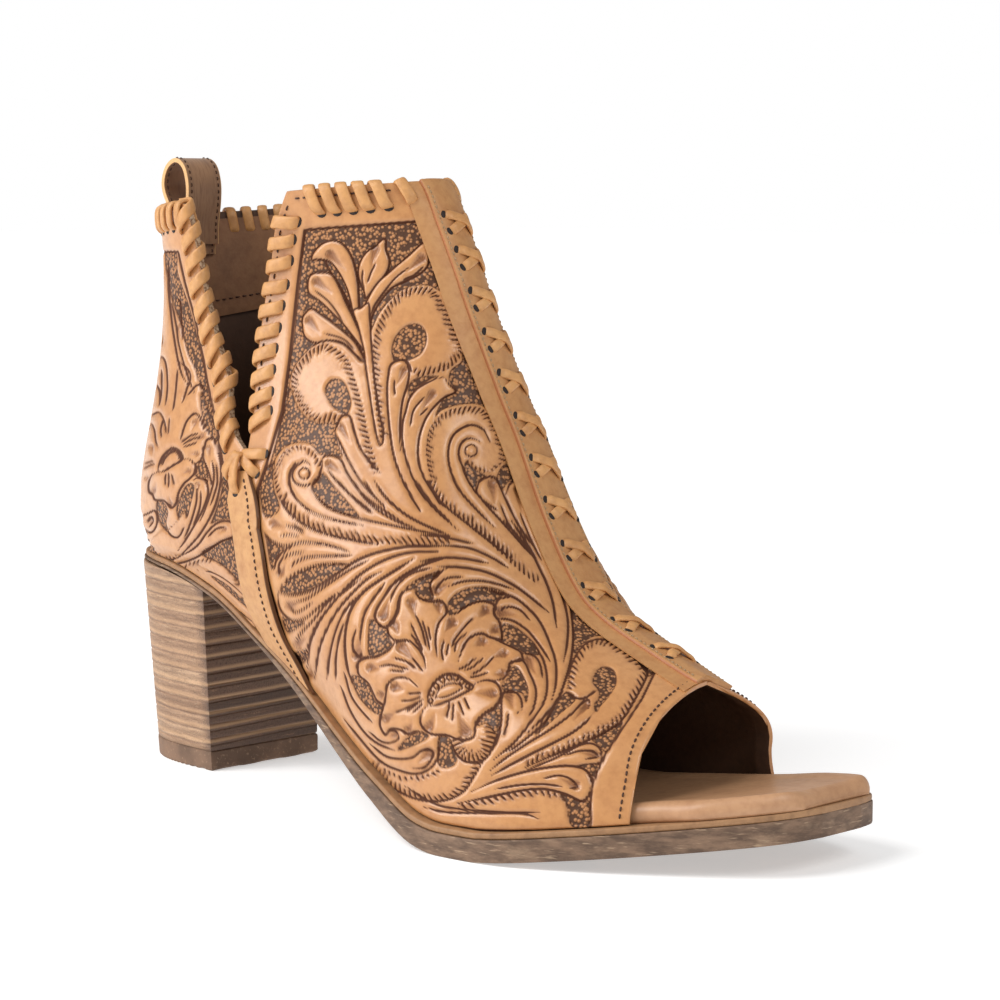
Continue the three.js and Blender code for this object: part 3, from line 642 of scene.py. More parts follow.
def sole_layer(name, inset, lower, upper, roundness, material, node):
    """One layer of the sole, from its lower to its upper height, inset from the outline."""
    s = sole_stations(0.0, 1.0, 150)
    mid = (inner_half(s) - outer_half(s)) / 2
    half = np.maximum((inner_half(s) + outer_half(s)) / 2 - inset(s), 0.6)
    z0 = lower(s)
    z1 = upper(s)
    r = np.minimum(roundness, (z1 - z0) * 0.48)
    across = np.linspace(-1, 1, 13)[1:-1]
    corner = np.linspace(0, math.pi / 2, 5)
    x = SOLE_BACK + s * SOLE_LENGTH + inset(0 * s) * np.clip(1 - s / 0.12, 0, 1) ** 2
    loop = [(k * half, z0) for k in across]
    loop += [(half - r + r * np.sin(a), z0 + r - r * np.cos(a)) for a in corner]
    loop += [(half - r + r * np.cos(a), z1 - r + r * np.sin(a)) for a in corner]
    loop += [(k * (half - r), z1) for k in across[::-1]]
    loop += [(-half + r - r * np.sin(a), z1 - r + r * np.cos(a)) for a in corner]
    loop += [(-half + r - r * np.cos(a), z0 + r - r * np.sin(a)) for a in corner]
    points = np.stack([np.stack([x, mid + y, z], -1) for y, z in loop + loop[:1]], 1)
    grid_piece(points, name, [material], node, angle=50)


HEEL_TRIM = 1.9


def heel_inset(s):
    """The sole is trimmed flush with the upper round the heel."""
    return HEEL_TRIM * (1 - np.clip((s - 0.2) / 0.22, 0, 1) ** 1.5)


sole_layer("sole_leather", heel_inset, underside, sole_top, 0.5, edge_leather, "outsole")
sole_layer("sole_rim", lambda s: heel_inset(s) + 0.4, lambda s: sole_top(s) + GAP * 0.2, rim_top,
           0.6, rim_leather, "midsole")

# Padded insole: its edge is a thick roll, its top dips a little inside the roll
INSOLE_THICK = 4.9
INSOLE_ROLL = 3.6
INSOLE_ENDS = (0.05, 0.993)
insole_inset = curve([0, 0.84, 0.883, 0.93, 1], [7, 6.4, 4.9, 1.3, 1.3])


def insole_piece():
    """The padded footbed, a little lower at both ends where its roll turns down."""
    first, last = INSOLE_ENDS
    s = sole_stations(first, last, 170)
    mid = (inner_half(s) - outer_half(s)) / 2
    half = np.maximum((inner_half(s) + outer_half(s)) / 2 - insole_inset(s), 0.6)
    x = SOLE_BACK + s * SOLE_LENGTH
    toe = np.clip((last - s) * SOLE_LENGTH / INSOLE_ROLL, 0, 1)
    heel = np.clip((s - first) * SOLE_LENGTH / INSOLE_ROLL, 0, 1)
    rise = np.sqrt(np.clip(1 - (1 - np.minimum(toe, heel)) ** 2, 0.02, 1))
    base = rim_top(s) + 0.08
    # Each stop of the section: how far out, share of the flat middle, height against the top
    section = [(0, y, -0.7 + 0.1 * y * y) for y in np.linspace(0, 1, 9)]
    section += [(1.0, 1, -0.5), (2.2, 1, -0.16)]
    section += [(1.4 + INSOLE_ROLL * (1 + math.cos(a)), 1, INSOLE_ROLL * (math.sin(a) - 1))
                for a in np.radians(np.linspace(90, -20, 12))]
    section.append((section[-1][0] - 0.7, 1, -INSOLE_THICK))
    reach = max(out for out, _, _ in section)
    middle = half - reach
    loop = []
    for out, k, z in section:
        y = np.where(half > reach + 1, middle * k + out, half * (out + 4.0 * k) / (reach + 4.0))
        loop.append((y, base + INSOLE_THICK * rise + z * rise))
    flat = [(y * 0 + q * middle, base) for q in (0.6, 0.2)]
    ring = loop + flat + [(-y, z) for y, z in flat[::-1] + loop[::-1]]
    points = np.stack([np.stack([x, mid + y, z], -1) for y, z in ring + ring[:1]], 1)
    piece = grid_piece(points, "padded_insole", [pad_leather], "insole")


insole_piece()

# Stacked heel and its lift: D shaped rings, flat towards the toe
HEEL_DEPTH = 39.6
HEEL_BASE_HALF = 19.8
HEEL_TOP_HALF = 21.8
BREAST_SET_BACK = 2.9
BREAST_LEAN = 1.0
BACK_PROUD = 0.8
BACK_LEAN = 6.0
BOARD_THICK = 4.1
LIFT_THICK = 5.6
HEEL_SEAT = float(arch(0.14))


def heel_ring(z, steps, grow=0.0):
    """The heel's outline at a height, from the outer corner of its breast round the back."""
    k = z / HEEL_SEAT
    breast = HEEL_DEPTH / 2 - BREAST_SET_BACK - BREAST_LEAN * k + grow
    back = -HEEL_DEPTH / 2 - BACK_PROUD - BACK_LEAN * k - grow
    half = HEEL_BASE_HALF + (HEEL_TOP_HALF - HEEL_BASE_HALF) * k + grow
    a = np.linspace(0, math.pi / 2, steps)
    x = breast - (breast - back) * np.sin(a) ** 0.62
    y = half * np.cos(a) ** 0.86
    flank = np.stack([x, -y], -1)
    other = np.stack([x, y], -1)[::-1]
    face = np.stack([np.full(9, breast), np.linspace(half, -half, 11)[1:-1]], -1)
    return np.vstack([flank, other[1:], face, flank[:1]])


def heel_piece():
    """The stacked boards: a fine groove at each seam, and the breast marked for its darker colour.
    """
    rows = []
    masks = []
    low = LIFT_THICK + 0.1
    for k in np.linspace(0, 1, 90):
        z = low + (HEEL_SEAT - low) * k
        groove = -0.22 if ((z - 1.2) / BOARD_THICK) % 1 < 0.14 else 0.0
        ring = heel_ring(z, 60, groove)
        top = underside(share(ring[:, 0])) - GAP * 0.5
        rows.append(np.column_stack([ring, low + (top - low) * k]))
        plain_ring = heel_ring(z, 60)
        masks.append((plain_ring[:, 0] > plain_ring[0, 0] - 0.35).astype(float))
    grid_piece(np.array(rows), "stacked_heel", [stack], "heel",
               {"breast": np.array(masks)}, angle=40)


# The lift's section: height, growth over the heel and depth of the saw marks
LIFT_STEPS = [(0.0, -0.9, 0), (0.0, -0.25, 1), (0.35, 0.12, 1), (0.9, 0.2, 0.25), (1.6, 0.15, 0),
              (4.6, 0.15, 0), (5.3, 0.05, 0), (LIFT_THICK, -0.3, 0)]


def lift_piece():
    rows = []
    for z, grow, saw in LIFT_STEPS:
        ring = heel_ring(z, 120, grow)
        teeth = np.arange(len(ring)) // 2 % 2 * saw
        rows.append(np.column_stack([ring, z + teeth * 0.35]))
    grid_piece(np.array(rows), "heel_cap", [lift_rubber], "heel_lift", angle=40)


heel_piece()
lift_piece()


# Panel borders of the upper as w and t on a side
FRONT_EDGE = curve(
    [0, 0.432, 0.457, 0.481, 0.503, 0.528, 0.557, 0.597, 0.631, 0.663, 0.725, 0.782, 0.83, 0.882,
     0.924, 0.992, 1],
    [0, 0, 0.12, 0.21, 0.295, 0.37, 0.418, 0.458, 0.489, 0.513, 0.525, 0.527, 0.533, 0.547,
     0.559, 0.599, 0.605])
BACK_EDGE = curve(
    [0.489, 0.501, 0.515, 0.529, 0.551, 0.579, 0.611, 0.622, 0.66, 0.725, 0.826, 0.904, 0.986, 1],
    [0, 0.08, 0.186, 0.279, 0.369, 0.425, 0.46, 0.478, 0.479, 0.479, 0.439, 0.409, 0.383, 0.378])
STRIP_HALF = 9.4


def ridge_ladder(w, side):
    """Arc length from the ridge down each row, for finding t at a distance."""
    t = np.linspace(1, 0.35, 160)
    line = face_point(w[:, None], t[None], side)
    return t, run_length(line, 1)


def t_at(w, side, distance):
    """t on each row at a distance from the ridge."""
    t, s = ridge_ladder(w, side)
    distance = np.broadcast_to(distance, w.shape)
    return np.array([np.interp(distance[i], s[i], t) for i in range(len(w))])


def even_columns(w, t0, t1, side, count):
    """t on each row from t0 to t1 at even arc lengths."""
    k = np.linspace(0, 1, 220)
    t = t0[:, None] + (t1 - t0)[:, None] * k
    line = face_point(w[:, None], t, side)
    s = run_length(line, 1)
    even = np.linspace(0, 1, count)
    return np.array([np.interp(even * s[i][-1], s[i], t[i]) for i in range(len(w))])


def shell_points(w, t, side):
    """Outer face and its outward direction; at the sole the direction lies flat."""
    p = face_point(w[:, None], t, side)
    n = face_normal(w[:, None], t, side)
    sole = (t <= 1e-6) & (w[:, None] <= HEEL_TURN)
    level = n.copy()
    level[..., 2] = 0
    n = np.where(sole[..., None], unit(level), n)
    return p, n, sole


# Tooling chart: the ornament is drawn on the photograph's own plane, 2 cells a pixel
CHART_X = -60
CHART_Y = 180
CHART_W = 800
CHART_H = 700
CHART_SCALE = 2


class Chart:
    """The grids that the tooling is drawn on: cuts, ground, shading, swelling and the height."""

    def __init__(self):
        shape = (CHART_H * CHART_SCALE, CHART_W * CHART_SCALE)
        self.cut, self.ground, self.shade, self.swell = (
            np.zeros(shape, np.float32) for _ in range(4))

    def window(self, points, margin):
        """The cells near some points, and where each of them lies."""
        lo = points.min(0) - margin
        hi = points.max(0) + margin
        x0 = int(max((lo[0] - CHART_X) * CHART_SCALE, 0))
        x1 = int(min((hi[0] - CHART_X) * CHART_SCALE, CHART_W * CHART_SCALE))
        y0 = int(max((lo[1] - CHART_Y) * CHART_SCALE, 0))
        y1 = int(min((hi[1] - CHART_Y) * CHART_SCALE, CHART_H * CHART_SCALE))
        if x1 <= x0 or y1 <= y0:
            return None
        xs = CHART_X + (np.arange(x0, x1) + 0.5) / CHART_SCALE
        ys = CHART_Y + (np.arange(y0, y1) + 0.5) / CHART_SCALE
        return (slice(y0, y1), slice(x0, x1)), *np.meshgrid(xs, ys)

    def sample(self, grid, uv):
        """A grid read between its cells."""
        x = np.clip((uv[..., 0] - CHART_X) * CHART_SCALE - 0.5, 0, CHART_W * CHART_SCALE - 2)
        y = np.clip((uv[..., 1] - CHART_Y) * CHART_SCALE - 0.5, 0, CHART_H * CHART_SCALE - 2)
        i = x.astype(int)
        j = y.astype(int)
        a = x - i
        b = y - j
        return ((grid[j, i] * (1 - a) + grid[j, i + 1] * a) * (1 - b)
                + (grid[j + 1, i] * (1 - a) + grid[j + 1, i + 1] * a) * b)


def inside(polygon, x, y):
    """Whether each point lies in the polygon."""
    result = np.zeros(x.shape, bool)
    p = np.array(polygon, float)
    q = np.roll(p, -1, axis=0)
    for (x0, y0), (x1, y1) in zip(p, q):
        if y0 == y1:
            continue
        crosses = (y0 > y) != (y1 > y)
        result ^= crosses & (x < (x1 - x0) * (y - y0) / (y1 - y0) + x0)
    return result


def to_line(line, x, y):
    """Distance to a line of points, the share along it and the side of it."""
    best = np.full(x.shape, 1e9)
    along = np.zeros(x.shape)
    side = np.zeros(x.shape)
    s = run_length(line)
    for i in range(len(line) - 1):
        ax, ay = line[i]
        dx, dy = line[i + 1] - line[i]
        size = dx * dx + dy * dy
        k = np.clip(((x - ax) * dx + (y - ay) * dy) / max(size, 1e-9), 0, 1)
        px = x - ax - k * dx
        py = y - ay - k * dy
        d = px * px + py * py
        near = d < best
        best = np.where(near, d, best)
        along = np.where(near, s[i] + k * math.sqrt(size), along)
        side = np.where(near, np.sign(dx * py - dy * px), side)
    return np.sqrt(best), along / max(s[-1], 1e-9), side


chart = Chart()

# The ornament is drawn in blocks: corner of the block in the chart and its enlargement.
# Every line below is its own few points inside its block, as x, y, x, y and so on.
TOP = (240, 160, 3.92)
LEFT = (250, 480, 7.84)
FLOWER = (340, 560, 6.03)
RIGHT = (420, 520, 5.227)
PLAIN = (0, 0, 1.0)

FRONT_FIELD = [
    (303.8, 230), (340, 227), (380, 224), (419.8, 220.7), (426, 242), (441.5, 280), (459.4, 328),
    (485, 390), (505, 448), (528, 502), (546, 543), (571, 593), (608, 635), (642, 660),
    (657, 667), (642, 698), (621, 730), (607.5, 750), (598, 769), (591, 788), (590, 829),
    (560, 834), (480, 840), (430, 838), (395, 818), (372, 788), (345, 748), (316, 700),
    (293, 662), (280, 628), (267, 580), (259, 530), (256, 490), (266, 462), (281, 410),
    (288.5, 359), (297, 282),
]

# Stippled ground
GROUNDS = [
    (TOP, [245, 285, 480, 258, 705, 235, 722, 318, 735, 360, 790, 505, 745, 492, 700, 490, 640, 505,
        590, 545, 545, 600, 520, 650, 500, 700, 480, 790, 440, 760, 400, 725, 340, 710, 285, 728,
        235, 775, 200, 830, 188, 890, 175, 960, 150, 1040, 165, 900, 185, 800, 205, 700, 215, 600,
        232, 450]),
    (TOP, [160, 960, 192, 890, 215, 950, 255, 1005, 310, 1030, 380, 1025, 370, 1060, 380, 1110, 400,
        1160, 375, 1160, 330, 1155, 305, 1150, 270, 1112, 215, 1108, 165, 1130, 130, 1180, 100,
        1240, 140, 1080]),
    (TOP, [65, 1240, 130, 1180, 125, 1230, 130, 1290, 150, 1370, 95, 1400, 75, 1330]),
    (TOP, [275, 1270, 320, 1225, 360, 1270, 420, 1340, 465, 1400, 400, 1385, 340, 1360, 295, 1320]),
    (TOP, [880, 760, 960, 900, 985, 970, 930, 955, 880, 955, 830, 965, 790, 980, 765, 1005, 800,
        930, 845, 905, 820, 860, 830, 820, 870, 790]),
    (TOP, [665, 930, 660, 880, 700, 850, 780, 845, 740, 860, 690, 890]),
    (TOP, [600, 785, 592, 740, 605, 695, 640, 655, 680, 640, 715, 652, 732, 690, 725, 730, 700, 765,
        650, 785, 620, 782]),
    (TOP, [330, 910, 335, 880, 360, 857, 400, 865, 425, 915, 432, 960, 412, 995, 370, 975, 345,
        945]),
    (TOP, [885, 1180, 930, 1215, 970, 1240, 930, 1260, 935, 1310, 905, 1270, 885, 1220]),
    (TOP, [1010, 1240, 1040, 1190, 1075, 1200, 1085, 1245, 1050, 1265, 1030, 1290]),
    (LEFT, [105, 410, 150, 480, 260, 540, 200, 600, 175, 690, 150, 680, 120, 500]),
    (LEFT, [230, 850, 290, 780, 400, 705, 540, 660, 770, 655, 680, 720, 540, 810, 430, 870, 320,
        895, 235, 880]),
    (LEFT, [240, 1080, 330, 1110, 430, 1120, 370, 1160, 285, 1205]),
    (LEFT, [340, 1360, 430, 1340, 440, 1400, 400, 1450, 370, 1430]),
    (LEFT, [930, 1100, 970, 1100, 1020, 1140, 1080, 1180, 1080, 1240, 1110, 1290, 1050, 1340, 930,
        1385, 915, 1250]),
    (LEFT, [1215, 850, 1280, 790, 1370, 740, 1440, 720, 1490, 700, 1480, 750, 1420, 800, 1430, 880,
        1430, 930, 1370, 940, 1310, 910, 1295, 850]),
    (FLOWER, [455, 175, 470, 130, 540, 85, 620, 65, 560, 120, 545, 170, 565, 235, 510, 235, 465,
        210]),
    (FLOWER, [650, 260, 700, 200, 780, 165, 870, 155, 960, 170, 1005, 195, 960, 220, 940, 245, 890,
        245, 820, 250, 750, 290, 690, 325, 655, 320]),
    (FLOWER, [980, 380, 1050, 390, 1120, 440, 1180, 500, 1210, 560, 1150, 560, 1100, 545, 1050, 520,
        980, 490, 975, 440]),
    (FLOWER, [1030, 640, 1070, 640, 1110, 700, 1135, 780, 1120, 860, 1100, 800, 1040, 790, 985, 780,
        975, 740, 1010, 700]),
    (FLOWER, [830, 970, 890, 920, 950, 870, 970, 940, 950, 1040, 920, 1030, 880, 980, 830, 1000]),
    (FLOWER, [590, 1065, 650, 1070, 680, 1140, 700, 1190, 680, 1240, 600, 1250, 580, 1180]),
    (FLOWER, [340, 1150, 400, 1070, 480, 1040, 530, 1065, 440, 1120]),
    (FLOWER, [60, 700, 120, 710, 170, 770, 200, 850, 250, 880, 235, 935, 180, 910, 120, 850, 80,
        780]),
    (RIGHT, [785, 380, 830, 420, 920, 510, 985, 585, 900, 605, 840, 650, 805, 690, 800, 560]),
    (RIGHT, [760, 890, 815, 930, 730, 1010, 640, 1090, 600, 1120, 700, 970]),
    (RIGHT, [1060, 1050, 1010, 1150, 975, 1210, 930, 1170, 900, 1140, 960, 1100]),
    (RIGHT, [820, 1280, 940, 1270, 910, 1340, 890, 1330, 860, 1300]),
    (RIGHT, [730, 1430, 850, 1470, 890, 1470, 890, 1620, 790, 1600, 760, 1480]),
    (RIGHT, [905, 820, 930, 775, 970, 760, 1015, 780, 1028, 840, 1000, 900, 950, 960, 920, 1000,
        910, 960, 935, 920, 930, 880, 905, 850]),
    (RIGHT, [1150, 740, 1235, 770, 1200, 810, 1180, 790]),
]

# A sprig of five leaves on one stem: shapes, cuts and dimples
SPRIG_SHAPES = [
    [275, 390, 300, 345, 345, 318, 390, 325, 425, 365, 445, 420, 458, 500, 460, 600, 440, 605, 432,
        560, 415, 500, 385, 440, 350, 400, 310, 388],
    [485, 520, 462, 460, 465, 410, 490, 365, 530, 335, 565, 308, 568, 350, 582, 395, 570, 440, 530,
        490, 490, 540],
    [722, 322, 738, 360, 735, 410, 700, 445, 650, 470, 590, 500, 540, 560, 510, 620, 500, 690, 480,
        640, 480, 590, 500, 540, 540, 480, 600, 425, 660, 375],
    [262, 500, 270, 455, 310, 442, 355, 450, 385, 500, 410, 560, 440, 620, 470, 690, 480, 740, 440,
        690, 400, 640, 370, 610, 330, 570, 300, 545, 270, 525],
    [240, 640, 245, 610, 275, 583, 310, 605, 360, 640, 410, 680, 450, 720, 485, 790, 450, 760, 400,
        715, 340, 705, 290, 715, 250, 690],
    [440, 590, 470, 580, 500, 560, 505, 620, 510, 700, 518, 800, 530, 900, 545, 1000, 560, 1060,
        552, 1118, 535, 1080, 520, 1000, 505, 900, 490, 800, 478, 720, 460, 650],
]

# Cut lines
CUTS = [
    (TOP, 1.2, [650, 785, 662, 800, 672, 828]),
    (TOP, 1.6, [627, 1140, 625, 1050, 635, 950, 655, 880, 662, 830, 650, 790, 625, 782, 590, 800,
        580, 840, 575, 900, 580, 1000, 600, 1150, 640, 1260, 705, 1376]),
    (TOP, 1.2, [605, 860, 603, 890, 607, 922]),
    (TOP, 1.6, [365, 1060, 385, 1020, 400, 1000, 428, 1005, 445, 1060, 470, 1130, 515, 1190, 550,
        1226]),
    (TOP, 1.4, [366, 1060, 390, 1110, 430, 1190, 480, 1270, 568, 1362]),
    (TOP, 1.6, [310, 1190, 330, 1160, 365, 1158, 395, 1178, 420, 1230, 470, 1300, 530, 1350, 640,
        1420]),
    (TOP, 1.4, [340, 1210, 370, 1250, 430, 1310, 520, 1382]),
    (TOP, 1.6, [800, 850, 760, 860, 700, 890, 665, 930, 650, 980, 635, 1040, 640, 1130, 680, 1250,
        740, 1340, 855, 1450]),
    (TOP, 1.6, [800, 850, 822, 880, 848, 906, 800, 930, 750, 980, 720, 1030, 700, 1100, 700, 1180,
        730, 1260, 795, 1355]),
    (TOP, 1.3, [667, 1042, 680, 980, 722, 928]), (TOP, 1.2, [705, 1000, 735, 972]),
    (TOP, 1.6, [945, 1105, 925, 1093, 895, 1090, 868, 1110, 858, 1150, 870, 1190, 900, 1260, 960,
        1340, 1060, 1450, 1165, 1568]),
    (TOP, 1.6, [980, 1105, 960, 1060, 920, 1038, 880, 1045, 835, 1080, 817, 1140, 825, 1210, 860,
        1290, 930, 1370, 1000, 1440]),
    (TOP, 1.5, [930, 1300, 940, 1260, 975, 1240, 1010, 1250, 1040, 1320, 1090, 1420, 1160, 1520]),
    (TOP, 1.3, [950, 1330, 1012, 1372]), (TOP, 1.3, [1020, 1340, 1060, 1430, 1150, 1545]),
    (TOP, 1.5, [1045, 1310, 1060, 1270, 1090, 1255, 1115, 1280, 1150, 1370, 1210, 1500, 1240,
        1568]),
    (TOP, 1.3, [1100, 1385, 1150, 1500, 1185, 1568]),
    (TOP, 1.5, [275, 1195, 250, 1180, 215, 1200, 200, 1235, 215, 1265, 250, 1275, 290, 1260, 315,
        1210, 320, 1178]),
    (TOP, 1.5, [215, 1185, 190, 1230, 195, 1285, 215, 1320]),
    (TOP, 1.4, [740, 1262, 790, 1340, 900, 1430, 1000, 1510, 1070, 1568]),
    (LEFT, 1.5, [290, 20, 330, 110, 400, 190, 500, 260, 650, 310, 885, 356]),
    (LEFT, 1.5, [470, 70, 530, 150, 620, 220, 740, 265, 900, 310, 1200, 370, 1568, 440]),
    (LEFT, 1.5, [680, 0, 750, 80, 850, 180, 957, 262]),
    (LEFT, 1.5, [810, 0, 870, 110, 980, 220, 1150, 320, 1300, 372]),
    (LEFT, 1.5, [890, 0, 960, 110, 1060, 216]),
    (LEFT, 1.9, [970, 0, 1050, 120, 1180, 240, 1330, 330, 1568, 432]),
    (LEFT, 1.8, [1200, 0, 1260, 120, 1337, 247]),
    (LEFT, 1.9, [1300, 0, 1370, 110, 1470, 230, 1568, 320]),
    (LEFT, 1.5, [1390, 0, 1450, 120, 1512, 203]),
    (LEFT, 1.5, [215, 130, 280, 230, 420, 350, 600, 425, 800, 470, 1000, 505]),
    (LEFT, 1.6, [100, 400, 150, 470, 230, 510, 300, 515, 400, 490, 560, 500, 680, 530, 778, 562]),
    (LEFT, 1.2, [280, 355, 350, 380, 420, 415]), (LEFT, 1.2, [330, 345, 380, 375, 418, 412]),
    (LEFT, 1.2, [232, 438, 300, 430, 380, 440]),
    (LEFT, 1.6, [215, 740, 220, 660, 270, 600, 340, 575, 420, 567]),
    (LEFT, 1.7, [300, 690, 360, 640, 450, 605, 600, 595, 806, 590]),
    (LEFT, 1.5, [230, 845, 300, 770, 400, 708, 560, 662, 720, 655, 770, 655]),
    (LEFT, 1.5, [180, 700, 200, 620, 260, 560, 320, 518]),
    (LEFT, 2.0, [220, 885, 300, 905, 430, 880, 560, 815, 760, 670, 920, 590, 1100, 540, 1280, 515,
        1568, 515]),
    (LEFT, 1.6, [320, 965, 440, 930, 600, 820, 780, 700, 937, 620]),
    (LEFT, 1.5, [215, 900, 215, 980, 250, 1050, 330, 1105, 430, 1085, 540, 990, 680, 882]),
    (LEFT, 1.5, [300, 1005, 350, 1040, 420, 1010, 487, 958]),
    (LEFT, 1.6, [350, 1270, 380, 1220, 480, 1110, 580, 980, 676, 884]),
    (LEFT, 1.9, [1485, 558, 1250, 565, 1050, 625, 870, 730, 740, 850, 620, 990, 530, 1120, 450,
        1300, 400, 1420]),
    (LEFT, 1.8, [1040, 712, 920, 770, 800, 880, 680, 1020, 590, 1180, 530, 1350, 500, 1568]),
    (LEFT, 1.5, [870, 770, 760, 850, 640, 960, 500, 1160, 460, 1300, 440, 1480]),
    (LEFT, 2.2, [1290, 610, 1160, 690, 1000, 790, 880, 880, 790, 1000, 745, 1150, 735, 1300, 750,
        1450, 790, 1600]),
    (LEFT, 1.8, [845, 905, 760, 990, 690, 1110, 640, 1260, 610, 1420, 600, 1568]),
    (LEFT, 1.6, [725, 1130, 690, 1240, 665, 1400, 665, 1568]),
    (LEFT, 1.7, [1425, 685, 1270, 725, 1170, 800, 1110, 900, 1100, 950]),
    (LEFT, 2.0, [1568, 600, 1400, 645, 1250, 715, 1130, 800, 1040, 920, 975, 1040, 985, 1110, 1040,
        1150, 1090, 1130, 1150, 1040, 1170, 950, 1190, 870]),
    (LEFT, 1.7, [1060, 800, 960, 930, 890, 1050, 860, 1200, 855, 1290]),
    (LEFT, 1.6, [825, 1165, 800, 1250, 800, 1330, 835, 1388, 870, 1340]),
    (LEFT, 1.6, [930, 1385, 860, 1400, 830, 1460, 840, 1500]),
    (LEFT, 1.6, [350, 1380, 420, 1520, 470, 1650]),
    (FLOWER, 1.5, [0, 760, 50, 900, 130, 1030, 220, 1110, 330, 1150]),
    (FLOWER, 1.4, [20, 680, 60, 820, 130, 920, 192, 982]),
    (FLOWER, 1.4, [170, 1035, 230, 1090, 290, 1105, 345, 1082, 335, 1045, 300, 1030, 268, 1056]),
    (FLOWER, 1.6, [175, 1110, 260, 1180, 340, 1200, 430, 1192, 490, 1148, 540, 1150, 545, 1200, 500,
        1252, 430, 1256]),
    (FLOWER, 1.6, [585, 1090, 585, 1180, 545, 1250, 460, 1290, 350, 1270, 230, 1210, 80, 1040, 20,
        960]),
    (FLOWER, 1.5, [500, 1490, 640, 1522, 900, 1527, 1100, 1530, 1200, 1562]),
    (FLOWER, 1.4, [180, 1230, 260, 1335, 380, 1415, 520, 1455, 650, 1445, 745, 1392, 800, 1310, 862,
        1215]),
    (FLOWER, 1.5, [660, 1080, 690, 1160, 750, 1215, 830, 1215, 890, 1180, 930, 1090, 955, 1000]),
    (RIGHT, 1.6, [0, 75, 120, 85, 280, 122]), (RIGHT, 1.5, [0, 165, 102, 162]),
    (RIGHT, 1.8, [0, 215, 120, 195, 240, 200, 357, 223]),
    (RIGHT, 1.7, [130, 130, 260, 145, 380, 195, 467, 250]),
    (RIGHT, 1.9, [90, 242, 220, 245, 350, 270, 480, 330, 580, 400, 677, 482]),
    (RIGHT, 1.5, [75, 378, 100, 330, 150, 300, 225, 295]),
    (RIGHT, 1.6, [150, 345, 220, 320, 320, 315, 420, 335, 492, 360]),
    (RIGHT, 1.5, [70, 395, 52, 340, 80, 285, 140, 252]),
    (RIGHT, 1.8, [330, 350, 480, 395, 560, 450, 630, 530, 680, 640, 710, 740, 710, 850, 688, 942]),
    (RIGHT, 1.6, [400, 510, 388, 460, 420, 410, 480, 396]),
    (RIGHT, 1.5, [415, 465, 470, 450, 530, 470, 577, 523]),
    (RIGHT, 1.6, [400, 512, 480, 520, 560, 570, 620, 640, 660, 700, 682, 738]),
    (RIGHT, 1.5, [535, 690, 585, 695, 625, 740, 641, 822]),
    (RIGHT, 1.7, [600, 640, 650, 740, 665, 850, 650, 940, 600, 1020, 500, 1150, 385, 1252]),
    (RIGHT, 1.6, [472, 748, 535, 722, 575, 800, 605, 880, 598, 960, 565, 1035]),
    (RIGHT, 1.5, [505, 1010, 532, 980, 522, 920, 480, 885, 440, 895, 425, 935, 422, 1050, 400, 1150,
        342, 1250]),
    (RIGHT, 1.6, [462, 1000, 450, 1080, 433, 1132]),
    (RIGHT, 1.6, [690, 1000, 620, 1080, 540, 1150, 455, 1212]),
    (RIGHT, 1.7, [362, 1312, 450, 1240, 560, 1165, 690, 1085, 790, 1010, 850, 945, 885, 935, 880,
        980]),
    (RIGHT, 1.9, [370, 1337, 460, 1285, 580, 1220, 690, 1165, 800, 1105, 880, 1040, 915, 1000]),
    (RIGHT, 1.6, [440, 0, 500, 60, 560, 130, 613, 197]),
    (RIGHT, 1.9, [480, 0, 560, 110, 620, 230, 670, 340, 700, 440, 715, 562]),
    (RIGHT, 1.9, [580, 0, 650, 150, 700, 270, 750, 400, 775, 520, 770, 640, 750, 742]),
    (RIGHT, 1.6, [610, 0, 680, 140, 740, 280, 766, 442]),
    (RIGHT, 1.8, [780, 370, 795, 470, 803, 600, 790, 720, 760, 830, 720, 930, 650, 1020, 560,
        1110]),
    (RIGHT, 1.5, [780, 900, 830, 928, 880, 915, 925, 880]),
    (RIGHT, 1.4, [770, 880, 790, 760, 830, 680, 880, 632, 960, 618, 1050, 658, 1150, 738, 1192, 790,
        1120, 940, 1050, 1045, 950, 1110, 840, 1165, 700, 1225, 550, 1292]),
    (RIGHT, 1.4, [755, 1228, 830, 1205, 905, 1205, 925, 1232, 860, 1250]),
    (RIGHT, 1.5, [560, 1302, 700, 1245, 830, 1175, 900, 1165, 945, 1200, 940, 1260, 900, 1280]),
    (RIGHT, 1.8, [262, 1422, 400, 1360, 560, 1312, 700, 1288, 800, 1285, 870, 1310, 900, 1380, 880,
        1440, 840, 1468, 760, 1432, 640, 1405, 500, 1418, 300, 1460, 188, 1482]),
    (RIGHT, 1.4, [640, 1352, 720, 1335, 785, 1352, 817, 1392, 780, 1402]),
    (RIGHT, 1.6, [393, 1406, 520, 1385, 640, 1380, 742, 1392]),
    (PLAIN, 1.4, [282, 640, 300, 672, 322, 712, 348, 752, 376, 786, 402, 808]),
    (PLAIN, 1.3, [404, 786, 440, 806, 500, 812, 540, 812]),
    (PLAIN, 1.3, [380, 790, 420, 818, 470, 829, 540, 831]),
    (PLAIN, 1.2, [352, 745, 380, 780, 408, 797]),
]

